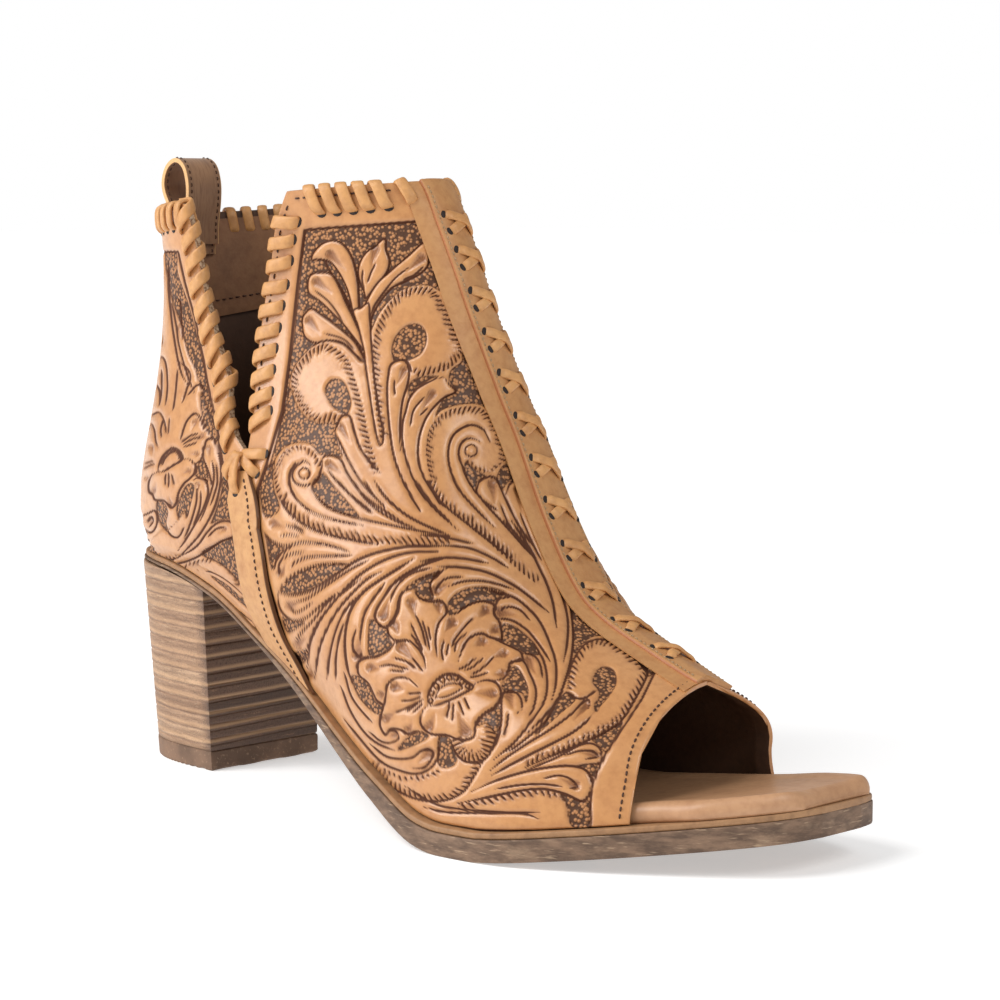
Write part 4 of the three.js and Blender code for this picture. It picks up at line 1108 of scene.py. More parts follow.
# Ribbed edges: line, side that the ribs stand on, length, pitch and lean
RIBS = [
    (TOP, 1, 12, 5.4, 0.6, [545, 1090, 530, 1000, 515, 850, 513, 740, 535, 640, 590, 545, 660, 497,
        755, 500, 800, 560, 850, 670, 882, 745, 830, 815, 740, 845, 680, 850]),
    (TOP, -1, 12, 5.4, -0.6, [550, 1222, 515, 1110, 485, 970, 455, 860, 420, 770, 340, 716, 280,
        733, 232, 780, 200, 830, 194, 885, 213, 940, 255, 1003, 310, 1030, 385, 1020]),
    (TOP, 1, 11, 5.2, 0.6, [740, 1262, 725, 1150, 735, 1060, 790, 990, 870, 963, 950, 968, 1000,
        1020, 1030, 1090, 1052, 1180]),
    (TOP, -1, 9, 5.6, 0.9, [740, 1262, 790, 1340, 900, 1430, 1000, 1510, 1070, 1568]),
    (TOP, -1, 7, 5.0, 0.5, [885, 1185, 930, 1215, 980, 1228, 1035, 1190]),
    (TOP, -1, 9, 5.0, 0.5, [322, 1195, 290, 1140, 230, 1113, 170, 1138, 135, 1190, 125, 1250, 150,
        1340, 200, 1410]),
    (LEFT, -1, 12, 6.0, 0.8, [215, 130, 280, 230, 420, 350, 600, 425, 800, 470, 1000, 505, 1280,
        508, 1568, 505]),
    (FLOWER, -1, 10, 5.6, 0.6, [180, 1230, 260, 1335, 380, 1415, 520, 1455, 650, 1445, 745, 1392,
        800, 1310, 862, 1215]),
    (FLOWER, -1, 8, 5.4, 0.5, [590, 1255, 500, 1290, 380, 1300, 260, 1250]),
    (FLOWER, -1, 16, 5.0, 0.1, [660, 1080, 690, 1160, 750, 1215, 830, 1215, 890, 1180, 930, 1090,
        955, 1000]),
    (RIGHT, -1, 11, 6.0, 0.9, [240, 0, 340, 100, 440, 195, 520, 270, 608, 335]),
    (RIGHT, 1, 10, 5.6, 0.6, [770, 880, 790, 760, 830, 680, 880, 632, 960, 618, 1050, 658, 1150,
        738, 1192, 790, 1120, 940, 1050, 1045, 950, 1110, 840, 1165, 700, 1225, 550, 1292]),
    (RIGHT, 1, 10, 6.8, -0.7, [190, 1482, 300, 1462, 500, 1420, 640, 1407, 760, 1434, 840, 1470]),
]

# Shaded dimples: half width, head and tail
DIMPLES = [
    (TOP, 4.5, [270, 630, 312, 682]), (TOP, 4.0, [642, 822, 614, 885]),
    (TOP, 4.5, [755, 915, 708, 985]), (TOP, 4.0, [393, 1045, 432, 1112]),
    (TOP, 4.5, [348, 1192, 405, 1232]), (TOP, 5.0, [990, 1268, 1000, 1345]),
    (TOP, 4.5, [1090, 1290, 1106, 1380]), (LEFT, 4.6, [180, 340, 275, 372]),
    (LEFT, 4.2, [232, 730, 275, 660]), (LEFT, 4.6, [300, 985, 385, 970]),
    (LEFT, 4.6, [370, 1285, 450, 1225]), (LEFT, 3.6, [465, 1540, 462, 1430]),
    (LEFT, 5.6, [1040, 1060, 1085, 930]), (LEFT, 5.4, [835, 1375, 845, 1240]),
    (FLOWER, 6.0, [535, 1165, 465, 1225]), (FLOWER, 4.2, [320, 1055, 290, 1075]),
    (RIGHT, 5.4, [88, 365, 165, 320]), (RIGHT, 5.4, [425, 478, 510, 495]),
    (RIGHT, 5.4, [565, 725, 605, 800]), (RIGHT, 5.4, [465, 910, 485, 985]),
    (RIGHT, 4.6, [868, 962, 805, 1045]), (RIGHT, 4.2, [915, 1222, 840, 1215]),
    (RIGHT, 5.0, [812, 1385, 730, 1350]),
]

SPRIG_CUTS = [
    (1.3, [480, 430, 476, 470, 484, 512]), (1.2, [530, 405, 512, 440, 498, 480]),
    (1.2, [325, 390, 345, 430, 390, 500, 420, 560, 440, 600]),
    (1.2, [510, 605, 530, 560, 600, 470, 660, 420]), (1.2, [640, 465, 680, 450, 720, 415]),
    (1.2, [290, 510, 350, 560, 400, 632]), (1.2, [330, 680, 400, 700, 447, 742]),
]
SPRIG_DIMPLES = [
    (5.0, [352, 372, 412, 430]), (5.0, [528, 350, 512, 420]), (5.0, [712, 385, 650, 440]),
    (5.0, [300, 478, 358, 522]),
]

# The blossom: petals, rays, beaded half moon
BLOSSOM_CUTS = [
    (1.7, [585, 580, 575, 500, 580, 430, 600, 370, 640, 320, 635, 270, 600, 240, 560, 247, 510, 240,
        460, 210, 450, 178]),
    (1.6, [440, 172, 380, 190, 350, 240, 340, 300, 310, 360, 280, 400, 290, 450, 330, 482, 400, 482,
        450, 512, 500, 580, 515, 655]),
    (1.8, [655, 325, 700, 320, 760, 275, 840, 245, 900, 250, 942, 275, 930, 320, 960, 360, 975, 410,
        975, 470, 910, 462, 860, 440, 800, 455, 750, 510, 710, 610]),
    (1.6, [880, 445, 960, 482, 1040, 520, 1092, 550, 1095, 598, 1030, 612, 1012, 665, 975, 712, 930,
        722]),
    (1.7, [800, 748, 870, 722, 930, 730, 965, 770, 965, 830, 930, 880, 870, 920, 820, 970, 812,
        1010, 800, 1065, 740, 1085, 690, 1075, 640, 1055, 560, 1052, 510, 1030, 480, 980, 490, 920,
        522, 880]),
    (1.6, [275, 810, 260, 870, 240, 930, 235, 1000, 268, 1056, 300, 1020, 360, 1025, 400, 1050, 460,
        1032, 500, 1040]),
    (1.6, [465, 762, 400, 712, 330, 712, 282, 750, 270, 810, 258, 870, 215, 850, 190, 800, 160, 740,
        110, 700, 100, 650, 110, 610, 160, 590, 220, 580, 290, 540, 325, 500, 370, 485]),
    (1.7, [525, 872, 530, 800, 570, 732, 630, 688, 700, 688, 760, 728, 802, 762, 720, 812, 640, 850,
        560, 878, 525, 872]),
    (1.1, [572, 832, 590, 782, 640, 748, 700, 742, 735, 765, 700, 792, 640, 820, 572, 832]),
    (1.4, [425, 380, 460, 460, 497, 540]), (1.4, [450, 320, 490, 410, 517, 520]),
    (1.4, [495, 360, 520, 450, 541, 540]), (1.4, [425, 440, 492, 543]), (1.4, [530, 400, 546, 482]),
    (1.5, [628, 478, 612, 545, 622, 606]), (1.4, [655, 498, 640, 572]),
    (1.5, [818, 338, 740, 410, 690, 480, 674, 522]), (1.4, [762, 435, 704, 496, 690, 552]),
    (1.4, [820, 585, 765, 632, 713, 658]), (1.4, [862, 588, 802, 640, 753, 662]),
    (1.4, [930, 580, 850, 655, 790, 686]), (1.4, [892, 674, 840, 692, 780, 706]),
    (1.5, [748, 828, 778, 897]), (1.4, [712, 848, 745, 935]), (1.4, [682, 858, 674, 972]),
    (1.4, [658, 858, 640, 952]), (1.5, [490, 798, 405, 806]), (1.4, [490, 820, 425, 845, 365, 848]),
    (1.4, [500, 840, 400, 890, 320, 925]), (1.4, [497, 862, 437, 918]), (1.4, [466, 860, 395, 916]),
    (1.5, [235, 642, 300, 632, 412, 658]), (1.4, [298, 664, 382, 672]),
    (1.5, [318, 588, 400, 612, 456, 657]), (1.5, [432, 588, 497, 668]),
]
BLOSSOM_RIM = [
    450, 178, 560, 247, 640, 275, 760, 275, 900, 250, 975, 410, 1092, 550, 1012, 665, 965, 800, 870,
    920, 800, 1065, 640, 1055, 480, 1040, 268, 1056, 240, 930, 190, 800, 100, 650, 220, 580, 290,
    480, 280, 400, 350, 240,
]
BLOSSOM_DIMPLES = [
    (5.4, [432, 258, 452, 345]), (4.8, [593, 270, 602, 330]), (4.8, [328, 392, 352, 455]),
    (5.4, [675, 375, 635, 430]), (5.4, [880, 300, 835, 350]), (4.8, [940, 415, 895, 445]),
    (5.0, [858, 490, 810, 520]), (4.6, [990, 560, 920, 585]), (4.2, [978, 678, 925, 688]),
    (5.0, [918, 800, 820, 800]), (5.0, [533, 1005, 572, 925]), (6.4, [752, 1030, 712, 925]),
    (5.0, [330, 765, 385, 782]), (4.6, [182, 648, 235, 655]), (4.2, [240, 812, 240, 860]),
    (4.6, [275, 955, 335, 915]), (4.2, [408, 1020, 435, 980]), (6.0, [370, 525, 450, 610]),
]
BEADS = [
    ((545, 848), 0.9), ((551, 802), 1.0), ((578, 757), 1.0), ((615, 722), 1.0), ((656, 706), 1.0),
    ((697, 708), 1.0), ((734, 730), 1.0), ((768, 757), 0.9),
]
RINGS = [((907, 1138), 6.0), ((250, 1228), 5.4)]


# The back quarter's own lines; its back part lies past the edge of the photograph's view
QUARTER_FIELD = [
    (-40, 252), (150, 252), (177, 252), (184, 283), (194, 319), (202, 357), (208, 390),
    (216, 426), (221, 459), (226, 484), (231, 520), (238, 560), (248, 600), (258, 628),
    (272, 655), (288, 690), (255, 660), (220, 630), (190, 606), (160, 586), (140, 572),
    (-40, 572),
]
SIDE = (120, 140, 3.92)
LOW = (120, 400, 5.04)
QUARTER_GROUNDS = [
    (PLAIN, [-60, 254, 60, 254, 148, 254, 144, 300, 141, 360, 137, 400, 134, 440, 134, 480, 138,
        510, 140, 570, 20, 570, -60, 570]),
    (SIDE, [168, 445, 215, 445, 222, 520, 262, 640, 300, 780, 330, 920, 350, 1030, 368, 1120, 345,
        1110, 318, 1000, 290, 900, 262, 840, 240, 760, 222, 700, 200, 640, 182, 560]),
    (LOW, [400, -40, 440, 40, 470, 140, 492, 205, 462, 196, 430, 150, 405, 60]),
    (LOW, [512, 385, 545, 470, 572, 600, 535, 598, 482, 610, 450, 625, 472, 560, 500, 470]),
    (LOW, [585, 690, 615, 800, 640, 930, 665, 1030, 640, 1010, 590, 920, 500, 830, 400, 780, 470,
        730]),
    (LOW, [385, 895, 440, 905, 520, 960, 540, 1010, 560, 1070, 600, 1090, 630, 1100, 640, 1040, 680,
        1090, 745, 1215, 720, 1212, 640, 1150, 540, 1075, 440, 985]),
    (LOW, [178, 512, 212, 520, 236, 566, 226, 620, 240, 668, 206, 640, 180, 590]),
    (LOW, [350, 418, 368, 440, 352, 520, 330, 600, 316, 560, 290, 600, 276, 545, 296, 490, 318,
        440]),
    (LOW, [398, 300, 420, 310, 436, 370, 432, 420, 405, 390, 372, 385, 380, 340]),
]
QUARTER_CUTS = [
    (SIDE, 1.3, [180, 470, 186, 600, 205, 760, 232, 900, 262, 960]),
    (SIDE, 1.3, [196, 640, 214, 720, 226, 800, 262, 930, 290, 990]),
    (SIDE, 1.3, [212, 620, 228, 640, 232, 720, 240, 780]),
    (SIDE, 1.3, [150, 560, 152, 680, 165, 800]),
    (SIDE, 1.3, [138, 870, 160, 850, 176, 880, 182, 960, 175, 1040]),
    (SIDE, 1.3, [160, 900, 158, 980, 150, 1040]),
    (SIDE, 1.2, [110, 980, 130, 950, 150, 985, 152, 1040]),
    (SIDE, 1.3, [205, 1060, 215, 980, 222, 900]),
    (SIDE, 1.3, [230, 870, 262, 900, 272, 930, 258, 975, 242, 1030]),
    (SIDE, 1.3, [262, 1000, 300, 960, 330, 980]),
    (LOW, 1.5, [188, 355, 192, 320, 215, 275, 258, 242, 296, 258, 308, 298, 262, 330, 208, 362, 188,
        356]),
    (LOW, 1.4, [308, 300, 345, 298, 372, 328, 368, 368, 344, 398, 318, 420, 292, 462, 276, 520, 256,
        545, 238, 535, 214, 508, 172, 505, 160, 482, 140, 462, 140, 412, 158, 378, 190, 362]),
    (LOW, 1.4, [300, 200, 330, 110, 372, 68, 400, 92, 424, 160]),
    (LOW, 1.4, [380, 318, 402, 296, 425, 220, 432, 200, 462, 196, 486, 240, 502, 330, 498, 420, 470,
        540, 410, 660, 340, 745, 286, 798]),
    (LOW, 1.3, [412, 240, 418, 300, 440, 360, 460, 440]),
    (LOW, 1.3, [462, 300, 466, 400, 440, 500, 400, 610]), (LOW, 1.3, [480, 320, 482, 420, 452, 530]),
    (LOW, 1.4, [365, 404, 388, 392, 425, 408, 438, 450, 430, 500, 392, 590, 330, 700, 290, 760]),
    (LOW, 1.3, [382, 450, 378, 520, 350, 620, 318, 700]), (LOW, 1.3, [404, 460, 396, 540, 362, 640]),
    (LOW, 1.5, [286, 800, 380, 740, 440, 660, 490, 618, 545, 612, 575, 640, 572, 684, 500, 716, 430,
        764, 360, 806, 280, 826, 215, 806]),
    (LOW, 1.3, [440, 690, 478, 652, 520, 640]),
    (LOW, 1.4, [385, 866, 450, 874, 520, 912, 580, 968, 614, 1040, 628, 1096]),
    (LOW, 1.2, [540, 1010, 560, 1000, 590, 1030, 582, 1060, 560, 1052]),
    (LOW, 1.3, [100, 590, 140, 572, 168, 560, 180, 592, 176, 640, 150, 668, 110, 650]),
    (LOW, 1.2, [130, 620, 152, 590, 160, 612, 144, 640]),
    (LOW, 1.4, [96, 660, 130, 740, 190, 790, 250, 808, 290, 795]),
    (LOW, 1.3, [232, 660, 262, 690, 292, 690, 320, 640]),
    (LOW, 1.2, [130, 150, 150, 120, 168, 150, 176, 210, 190, 240]),
    (LOW, 1.2, [150, 80, 190, 62, 215, 100, 228, 170]), (LOW, 1.2, [210, 100, 200, 150, 206, 190]),
    (LOW, 1.0, [245, 90, 240, 140, 240, 170]), (LOW, 1.2, [302, 212, 350, 180, 392, 168]),
    (LOW, 1.2, [312, 222, 360, 196, 400, 188]), (LOW, 1.2, [318, 236, 360, 222, 384, 214]),
    (LOW, 1.1, [118, 345, 150, 328, 172, 322]), (LOW, 1.1, [122, 320, 150, 310, 165, 308]),
    (LOW, 1.1, [226, 372, 222, 400, 224, 430]), (LOW, 1.1, [240, 368, 240, 410, 240, 440]),
    (LOW, 1.1, [256, 372, 262, 400, 270, 430]),
]
QUARTER_RIBS = [
    (LOW, -1, 7, 4.0, 0.5, [100, 690, 140, 752, 190, 796, 250, 812, 288, 800]),
    (LOW, 1, 8, 4.6, 0.7, [300, 836, 400, 800, 490, 800, 560, 850, 610, 930]),
    (SIDE, -1, 6, 4.4, 0.6, [212, 560, 240, 700, 268, 800, 290, 880]),
    (LOW, -1, 5, 3.4, 0.4, [250, 660, 290, 620, 330, 560, 350, 480]),
]
QUARTER_DIMPLES = [
    (LOW, 3.0, [338, 358, 312, 372]), (LOW, 3.0, [164, 458, 182, 420]),
    (LOW, 3.0, [247, 528, 244, 480]), (LOW, 2.6, [154, 236, 164, 280]),
    (LOW, 2.6, [376, 108, 352, 170]), (LOW, 2.6, [410, 182, 372, 212]),
    (LOW, 2.6, [382, 270, 340, 270]), (LOW, 2.6, [444, 240, 452, 310]),
    (LOW, 2.6, [388, 426, 386, 480]), (LOW, 2.6, [522, 650, 486, 676]),
    (LOW, 2.2, [130, 395, 150, 380]), (LOW, 2.4, [150, 615, 140, 640]),
    (SIDE, 2.8, [232, 735, 240, 800]),
]
QUARTER_BEADS = [
    207, 318, 212, 302, 222, 287, 235, 274, 250, 263, 266, 256, 282, 261, 292, 274, 297, 290,
]
# Where the two motifs are laid again: corner, then enlargement across and down
SPRIGS = [TOP, (6, 262, (7.4, 6.2))]
BLOSSOMS = [FLOWER, (30, 388, (11.0, 8.6))]


def spread(block, numbers):
    """Chart places of the points that a block gives as x, y, x, y and so on."""
    x0, y0, scale = block
    return np.array(numbers, float).reshape(-1, 2) / scale + (x0, y0)


def soften(grid, radius):
    """A soft blur: two box averages each way."""
    size = 2 * radius + 1
    for _ in range(2):
        for axis in (0, 1):
            pad = [(0, 0), (0, 0)]
            pad[axis] = (radius + 1, radius)
            total = np.cumsum(np.pad(grid, pad, mode="edge"), axis=axis, dtype=np.float64)
            high = np.take(total, range(size, total.shape[axis]), axis=axis)
            low = np.take(total, range(0, total.shape[axis] - size), axis=axis)
            grid = (high - low) / size
    return grid.astype(np.float32)


def lay(name, where, ink):
    """Deepen one of the chart's grids to the ink, where the ink is deeper."""
    grid = getattr(chart, name)
    grid[where] = np.maximum(grid[where], ink)


def fill_depth(points):
    """A closed shape's window, and how deep in the shape each of its cells lies."""
    line = flow(points, 5 * len(points), closed=True)
    where, x, y = chart.window(line, 3)
    d, _, _ = to_line(line, x, y)
    return where, np.where(inside(line, x, y), d, -d)


def draw_ground(points):
    """Stamped ground between the leaves."""
    where, depth = fill_depth(points)
    lay("ground", where, np.clip(depth / 1.2 + 0.3, 0, 1))
    lay("cut", where, np.clip(1.3 - abs(depth - 0.4), 0, 1) * 0.55)


def draw_shape(points):
    """A plain shape that clears the ground under it, with a cut round it."""
    where, depth = fill_depth(points)
    keep = np.clip(0.5 - depth / 1.2, 0, 1)
    chart.ground[where] *= keep
    chart.cut[where] *= keep
    lay("cut", where, np.clip(1.5 - abs(depth + 0.3), 0, 1) * 0.9)


def draw_cut(width, points):
    """A knife cut, thinner at both ends."""
    line = flow(points, 8 * len(points))
    where, x, y = chart.window(line, 3)
    d, along, _ = to_line(line, x, y)
    taper = np.clip(np.minimum(along, 1 - along) * 9, 0.25, 1)
    reach = width * 0.5 * taper
    lay("cut", where, np.clip(reach + 0.75 - d, 0, 1))


def draw_ribs(side_wanted, length, pitch, lean, points):
    """A row of stamped ribs along one side of a line."""
    line = flow(points, 8 * len(points))
    total = np.sum(np.linalg.norm(np.diff(line, axis=0), axis=1))
    where, x, y = chart.window(line, length + 2)
    d, along, side = to_line(line, x, y)
    phase = (along * total + lean * d) / pitch
    stripe = abs(phase - np.floor(phase) - 0.5) * 2
    dark = np.clip((0.62 - stripe) * 2.6, 0, 1)
    reach = np.clip((length * (0.85 + 0.15 * np.sin(np.floor(phase) * 2.1)) - d) / 3, 0, 1)
    mask = (side * side_wanted > 0) * reach * np.clip((d - 0.6) / 0.8, 0, 1)
    mask = mask * np.clip(np.minimum(along, 1 - along) * 400, 0, 1)
    mask = mask * (1 - chart.ground[where])
    fade = 0.55 + 0.45 * np.clip(1 - d / length, 0, 1)
    lay("cut", where, dark * mask * fade)
    lay("swell", where, (1 - dark) * mask * 0.5)
    lay("shade", where, mask * 0.45)


def draw_dimple(width, head, tail):
    """A shaded hollow that runs out from its head to its tail."""
    line = flow([head, tail], 12)
    where, x, y = chart.window(line, width + 2)
    d, along, side = to_line(line, x, y)
    reach = width * (1 - 0.75 * along)
    body = np.clip((reach - d) / 1.8, 0, 1)
    streak = 0.72 + 0.28 * np.cos(side * d * 3.6)
    dark = body * (1 - 0.45 * along) * streak
    lay("shade", where, body * (1 - 0.6 * along))
    lay("cut", where, dark * 0.5)
    rim = np.clip(1 - abs(d - reach) / 0.9, 0, 1) * np.clip(1 - 1.2 * along, 0, 1)
    lay("cut", where, rim * 0.55)
    chart.swell[where] -= body * 0.8 * (1 - 0.5 * along)


def draw_ring(centre, radius):
    """A stamped bead or eyelet."""
    line = np.array([centre, centre + 0.01])
    where, x, y = chart.window(line, radius + 3)
    d = np.hypot(x - centre[0], y - centre[1])
    lay("cut", where, np.clip(1.3 - abs(d - radius), 0, 1) * 0.9)
    lay("swell", where, np.clip(radius - d, 0, 1.5) * 0.5)


for block, points in GROUNDS + QUARTER_GROUNDS:
    draw_ground(spread(block, points))
for block in SPRIGS:
    for points in SPRIG_SHAPES:
        draw_shape(spread(block, points))
for block in BLOSSOMS[1:]:
    draw_shape(spread(block, BLOSSOM_RIM))
for block, side, length, pitch, lean, points in RIBS + QUARTER_RIBS:
    draw_ribs(side, length, pitch, lean, spread(block, points))
for block, width, points in CUTS + QUARTER_CUTS:
    draw_cut(width, spread(block, points))
for block, width, ends in DIMPLES + QUARTER_DIMPLES:
    draw_dimple(width, *spread(block, ends))
for centre in spread(LOW, QUARTER_BEADS):
    draw_ring(centre, 1.1)
for centre, radius in RINGS:
    draw_ring(spread(TOP, centre)[0], radius)
for blocks, cuts, dimples, small in ((SPRIGS, SPRIG_CUTS, SPRIG_DIMPLES, 0.7),
                                     (BLOSSOMS, BLOSSOM_CUTS, BLOSSOM_DIMPLES, 0.75)):
    for block in blocks:
        fine = 1.0 if block == blocks[0] else small
        for width, points in cuts:
            draw_cut(width * fine, spread(block, points))
        for width, ends in dimples:
            draw_dimple(width * fine * fine, *spread(block, ends))
for block in BLOSSOMS:
    for centre, radius in BEADS:
        draw_ring(spread(block, centre)[0], radius * 15.0 / np.mean(block[2]))

outside = np.ones_like(chart.cut)
borders = np.zeros_like(chart.cut)
for polygon in (FRONT_FIELD, QUARTER_FIELD):
    line = np.vstack([polygon, polygon[:1]]).astype(float)
    where, x, y = chart.window(line, 6)
    d, _, _ = to_line(line, x, y)
    mask = inside(polygon, x, y)
    outside[where] = np.minimum(outside[where], np.clip(0.5 - np.where(mask, d, -d), 0, 1))
    borders[where] = np.maximum(borders[where], np.clip(1.7 - d, 0, 1) * 0.85)
for grid in (chart.cut, chart.ground, chart.shade, chart.swell):
    grid *= 1 - outside
chart.cut = np.maximum(chart.cut, borders)

# The leather swells between the cuts and sinks at the ground
chart.shade = np.maximum(chart.shade * 0.9, soften(chart.cut, 3) * 0.8)
chart.height = (chart.swell - 0.9 * soften(chart.ground, 2) - 0.7 * soften(chart.cut, 1)
                - 1.0 * soften(chart.cut, 5))


# Depth of the tooling in mm, columns on a panel's inside, and the photograph's scale at the shoe
RELIEF = 0.52
BACK_COLUMNS = 14
PIXELS_PER_MM = 3.4


def chart_place(p, unroll):
    """Chart place of a panel's points. With unroll, rows go on past the far edge of the view."""
    uv = to_photo(p)
    if unroll:
        flat = uv[:, ::-1]
        run = np.linalg.norm(np.diff(p[:, ::-1], axis=1), axis=2) * PIXELS_PER_MM
        moved = flat[:, 1:, 0] - flat[:, :-1, 0]
        step = np.where(moved < 0, np.maximum(-moved, 0.1 * run), run)
        past = np.cumsum(moved > -0.1 * run, axis=1) > 0
        step = np.where(past, np.maximum(step, 0.9 * run), -moved)
        u = flat[:, :1, 0] - np.concatenate([np.zeros((len(p), 1)), np.cumsum(step, axis=1)], 1)
        uv = np.stack([u[:, ::-1], uv[..., 1]], -1)
    return uv


def panel(name, side, w, t0, t1, cols, unroll):
    """A leather panel of the upper: tooled outer face, cut edges, lining inside."""
    t = even_columns(w, t0, t1, side, cols)
    p, n, _ = shell_points(w, t, side)
    uv = chart_place(p if side < 0 else face_point(w[:, None], t, -1), unroll)
    edge = np.minimum(np.arange(cols), np.arange(cols)[::-1])[None, :]
    rounded = np.where(edge == 0, -0.35, np.where(edge == 1, -0.08, 0.0))
    height = chart.sample(chart.height, uv) * RELIEF * np.clip(edge / 3, 0, 1)
    outer = p + n * (height + rounded)[..., None]
    p, n, at_sole = shell_points(w, even_columns(w, t1, t0, side, BACK_COLUMNS), side)
    back = p - n * (WALL * np.clip(0.5 + w / 0.05, 0, 1))[:, None, None]
    back[..., 2] = np.where(at_sole, rim_top(share(back[..., 0])) + GAP, back[..., 2])
    values = {}
    for key in ("cut", "ground", "shade"):
        v = chart.sample(getattr(chart, key), uv)
        values[key] = np.concatenate([v, np.zeros((len(w), BACK_COLUMNS)), v[:, :1]], axis=1)
    grid = np.concatenate([outer, back, outer[:, :1]], axis=1)
    rim = np.zeros(grid.shape[:2])
    rim[:, [0, cols - 1, cols, -2, -1]] = 1
    values["rim"] = rim * np.clip(w / 0.3, 0.25, 1)[:, None]
    return grid_piece(grid, name, [leather, lining], None, values, cols, 60)


def front_panel(name, side, rows, cols):
    w = even_rows(0, 1, rows, lambda w: face_point(w, 0.62 + 0 * w, -1))
    return panel(name, side, w, FRONT_EDGE(w), t_at(w, side, 0.2), cols, False)


def back_panel(name, side, rows, cols):
    w = even_rows(0.4925, 1, rows, lambda w: face_point(w, 0.3 + 0 * w, -1))
    turn = HEEL_TURN - np.array([0.015, 0.0098, 0.0065, 0.0042, 0.0025, 0.0012, 0.0004, 0])
    w = np.unique(np.round(np.concatenate([w, turn]), 6))
    return panel(name, side, w, 0 * w, BACK_EDGE(w), cols, True)


front_outer = front_panel("front_panel_outer", -1, 400, 226)
front_panel("front_panel_inner", 1, 240, 130)
back_panel("quarter_outer", -1, 300, 110)
back_panel("quarter_inner", 1, 220, 80)
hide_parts("upper")


# Bands laid on the upper: the instep strip and the side straps

def strip_place(w, d, lift):
    """Points at distance d from the ridge, - on the outer side, lift above the leather.

    w and d are rows by columns, with one w to a row.
    """
    out = np.zeros(w.shape + (3,))
    for side in (-1, 1):
        t, s = ridge_ladder(w[:, 0], side)
        found = np.array([np.interp(abs(d[i]), s[i], t) for i in range(len(w))])
        pick = (d < 0) if side < 0 else (d >= 0)
        p = face_point(w, found, side) + face_normal(w, found, side) * (lift + 0 * d)[..., None]
        out[pick] = p[pick]
    return out


def thin_band(outer, inner, name, node, material):
    """A closed thin band from its top grid and its under grid."""
    grid = np.concatenate([outer, inner[:, ::-1], outer[:, :1]], axis=1)
    rim = np.zeros(grid.shape[:2])
    rim[:, outer.shape[1] - 1:] = 1
    rim[:, 0] = 1
    grid_piece(grid, name, [material], node, {"rim": rim}, angle=60)


STRIP_STEP = -4.3


def strip_lift(d):
    """The strip's thick laced middle and, on the outer side, the thin border beside it."""
    high = GAP + 1.05 - 0.3 * np.clip(1 - (d - STRIP_STEP) / 0.5, 0, 1)
    high = high - 0.14 * np.exp(-((d - STRIP_STEP - 1.1) / 0.3) ** 2)
    high = high - 0.3 * np.clip(1 - (STRIP_HALF - d) / 0.5, 0, 1)
    return np.where(d < STRIP_STEP, 0.42, high)


def instep_strip():
    w = np.linspace(0.002, 0.998, 260)
    d = np.concatenate([[-STRIP_HALF, -9.2, -8, -6.4, -5.0, -4.45, STRIP_STEP - 0.04, STRIP_STEP],
                        np.linspace(-4.05, 9.1, 34), [9.25, STRIP_HALF]])
    W, D = np.meshgrid(w, d, indexing="ij")
    low = strip_place(W[:, ::4], D[:, ::4], 0.05 + 0 * D[:, ::4])
    top = strip_place(W, D, strip_lift(D))
    grid = np.concatenate([top, low[:, ::-1], top[:, :1]], axis=1)
    rim = np.zeros(grid.shape[:2])
    rim[:, 6:8] = 1
    rim[:, 8] = 0.45
    grid_piece(grid, "instep_strip", [strip_leather], "front_strip", {"rim": rim},
               angle=60)


instep_strip()

# The strap's ends at the notch and the sole, and between: its back edge, then its front edge
STRAP = [
    (0.611, 0.447, 0.597, 0.467), (0.579, 0.407, 0.557, 0.432), (0.551, 0.349, 0.528, 0.386),
    (0.529, 0.259, 0.503, 0.312), (0.515, 0.166, 0.481, 0.226), (0.501, 0.06, 0.457, 0.13),
    (0.492, 0.004, 0.432, 0.004),
]
STRAP_WIDEN = 1.15
STRAP[1:-1] = [(bw, bt, bw + (fw - bw) * STRAP_WIDEN, bt + (ft - bt) * STRAP_WIDEN)
               for bw, bt, fw, ft in STRAP[1:-1]]
strap_curves = [curve(np.linspace(0, 1, len(STRAP)), column) for column in zip(*STRAP)]


def strap_place(u, k, side, lift):
    """A point on a strap: u runs down it, k from its back edge to its front edge."""
    bw, bt, fw, ft = (c(u) for c in strap_curves)
    w = bw + (fw - bw) * k
    t = bt + (ft - bt) * k
    p = face_point(w, t, side)
    q = p + face_normal(w, t, side) * (lift[..., None] if np.ndim(lift) else lift)
    q[..., 2] = np.maximum(q[..., 2], rim_top(share(q[..., 0])) + GAP)
    return q


def strap_piece(name, side, node):
    U, K = np.meshgrid(np.linspace(0, 1, 120), np.linspace(0, 1, 25), indexing="ij")
    edge = np.minimum(K, 1 - K) * 14
    lift = GAP + 1.1 - 0.3 * np.clip(1 - edge / 0.5, 0, 1)
    top = strap_place(U, K, side, lift)
    low = strap_place(U[:, ::4], K[:, ::4], side, 0.1)
    thin_band(top, low, name, node, strap_leather)


strap_piece("strap_outer", -1, "side_strap_outer")
strap_piece("strap_inner", 1, "side_strap_inner")

# Pull loop: a folded ribbon whose two ends are caught inside the collar
LOOP_HALF = 6.1
LOOP_PATH = [
    (-12.3, 146), (-12.5, 153), (-14.6, 157), (-18.6, 161.2), (-20.6, 166.2), (-18.9, 171),
    (-14.9, 173.2), (-11.2, 171.4), (-9.4, 166.8), (-9.4, 161.5), (-10.2, 157), (-10.6, 154),
    (-10.7, 149),
]


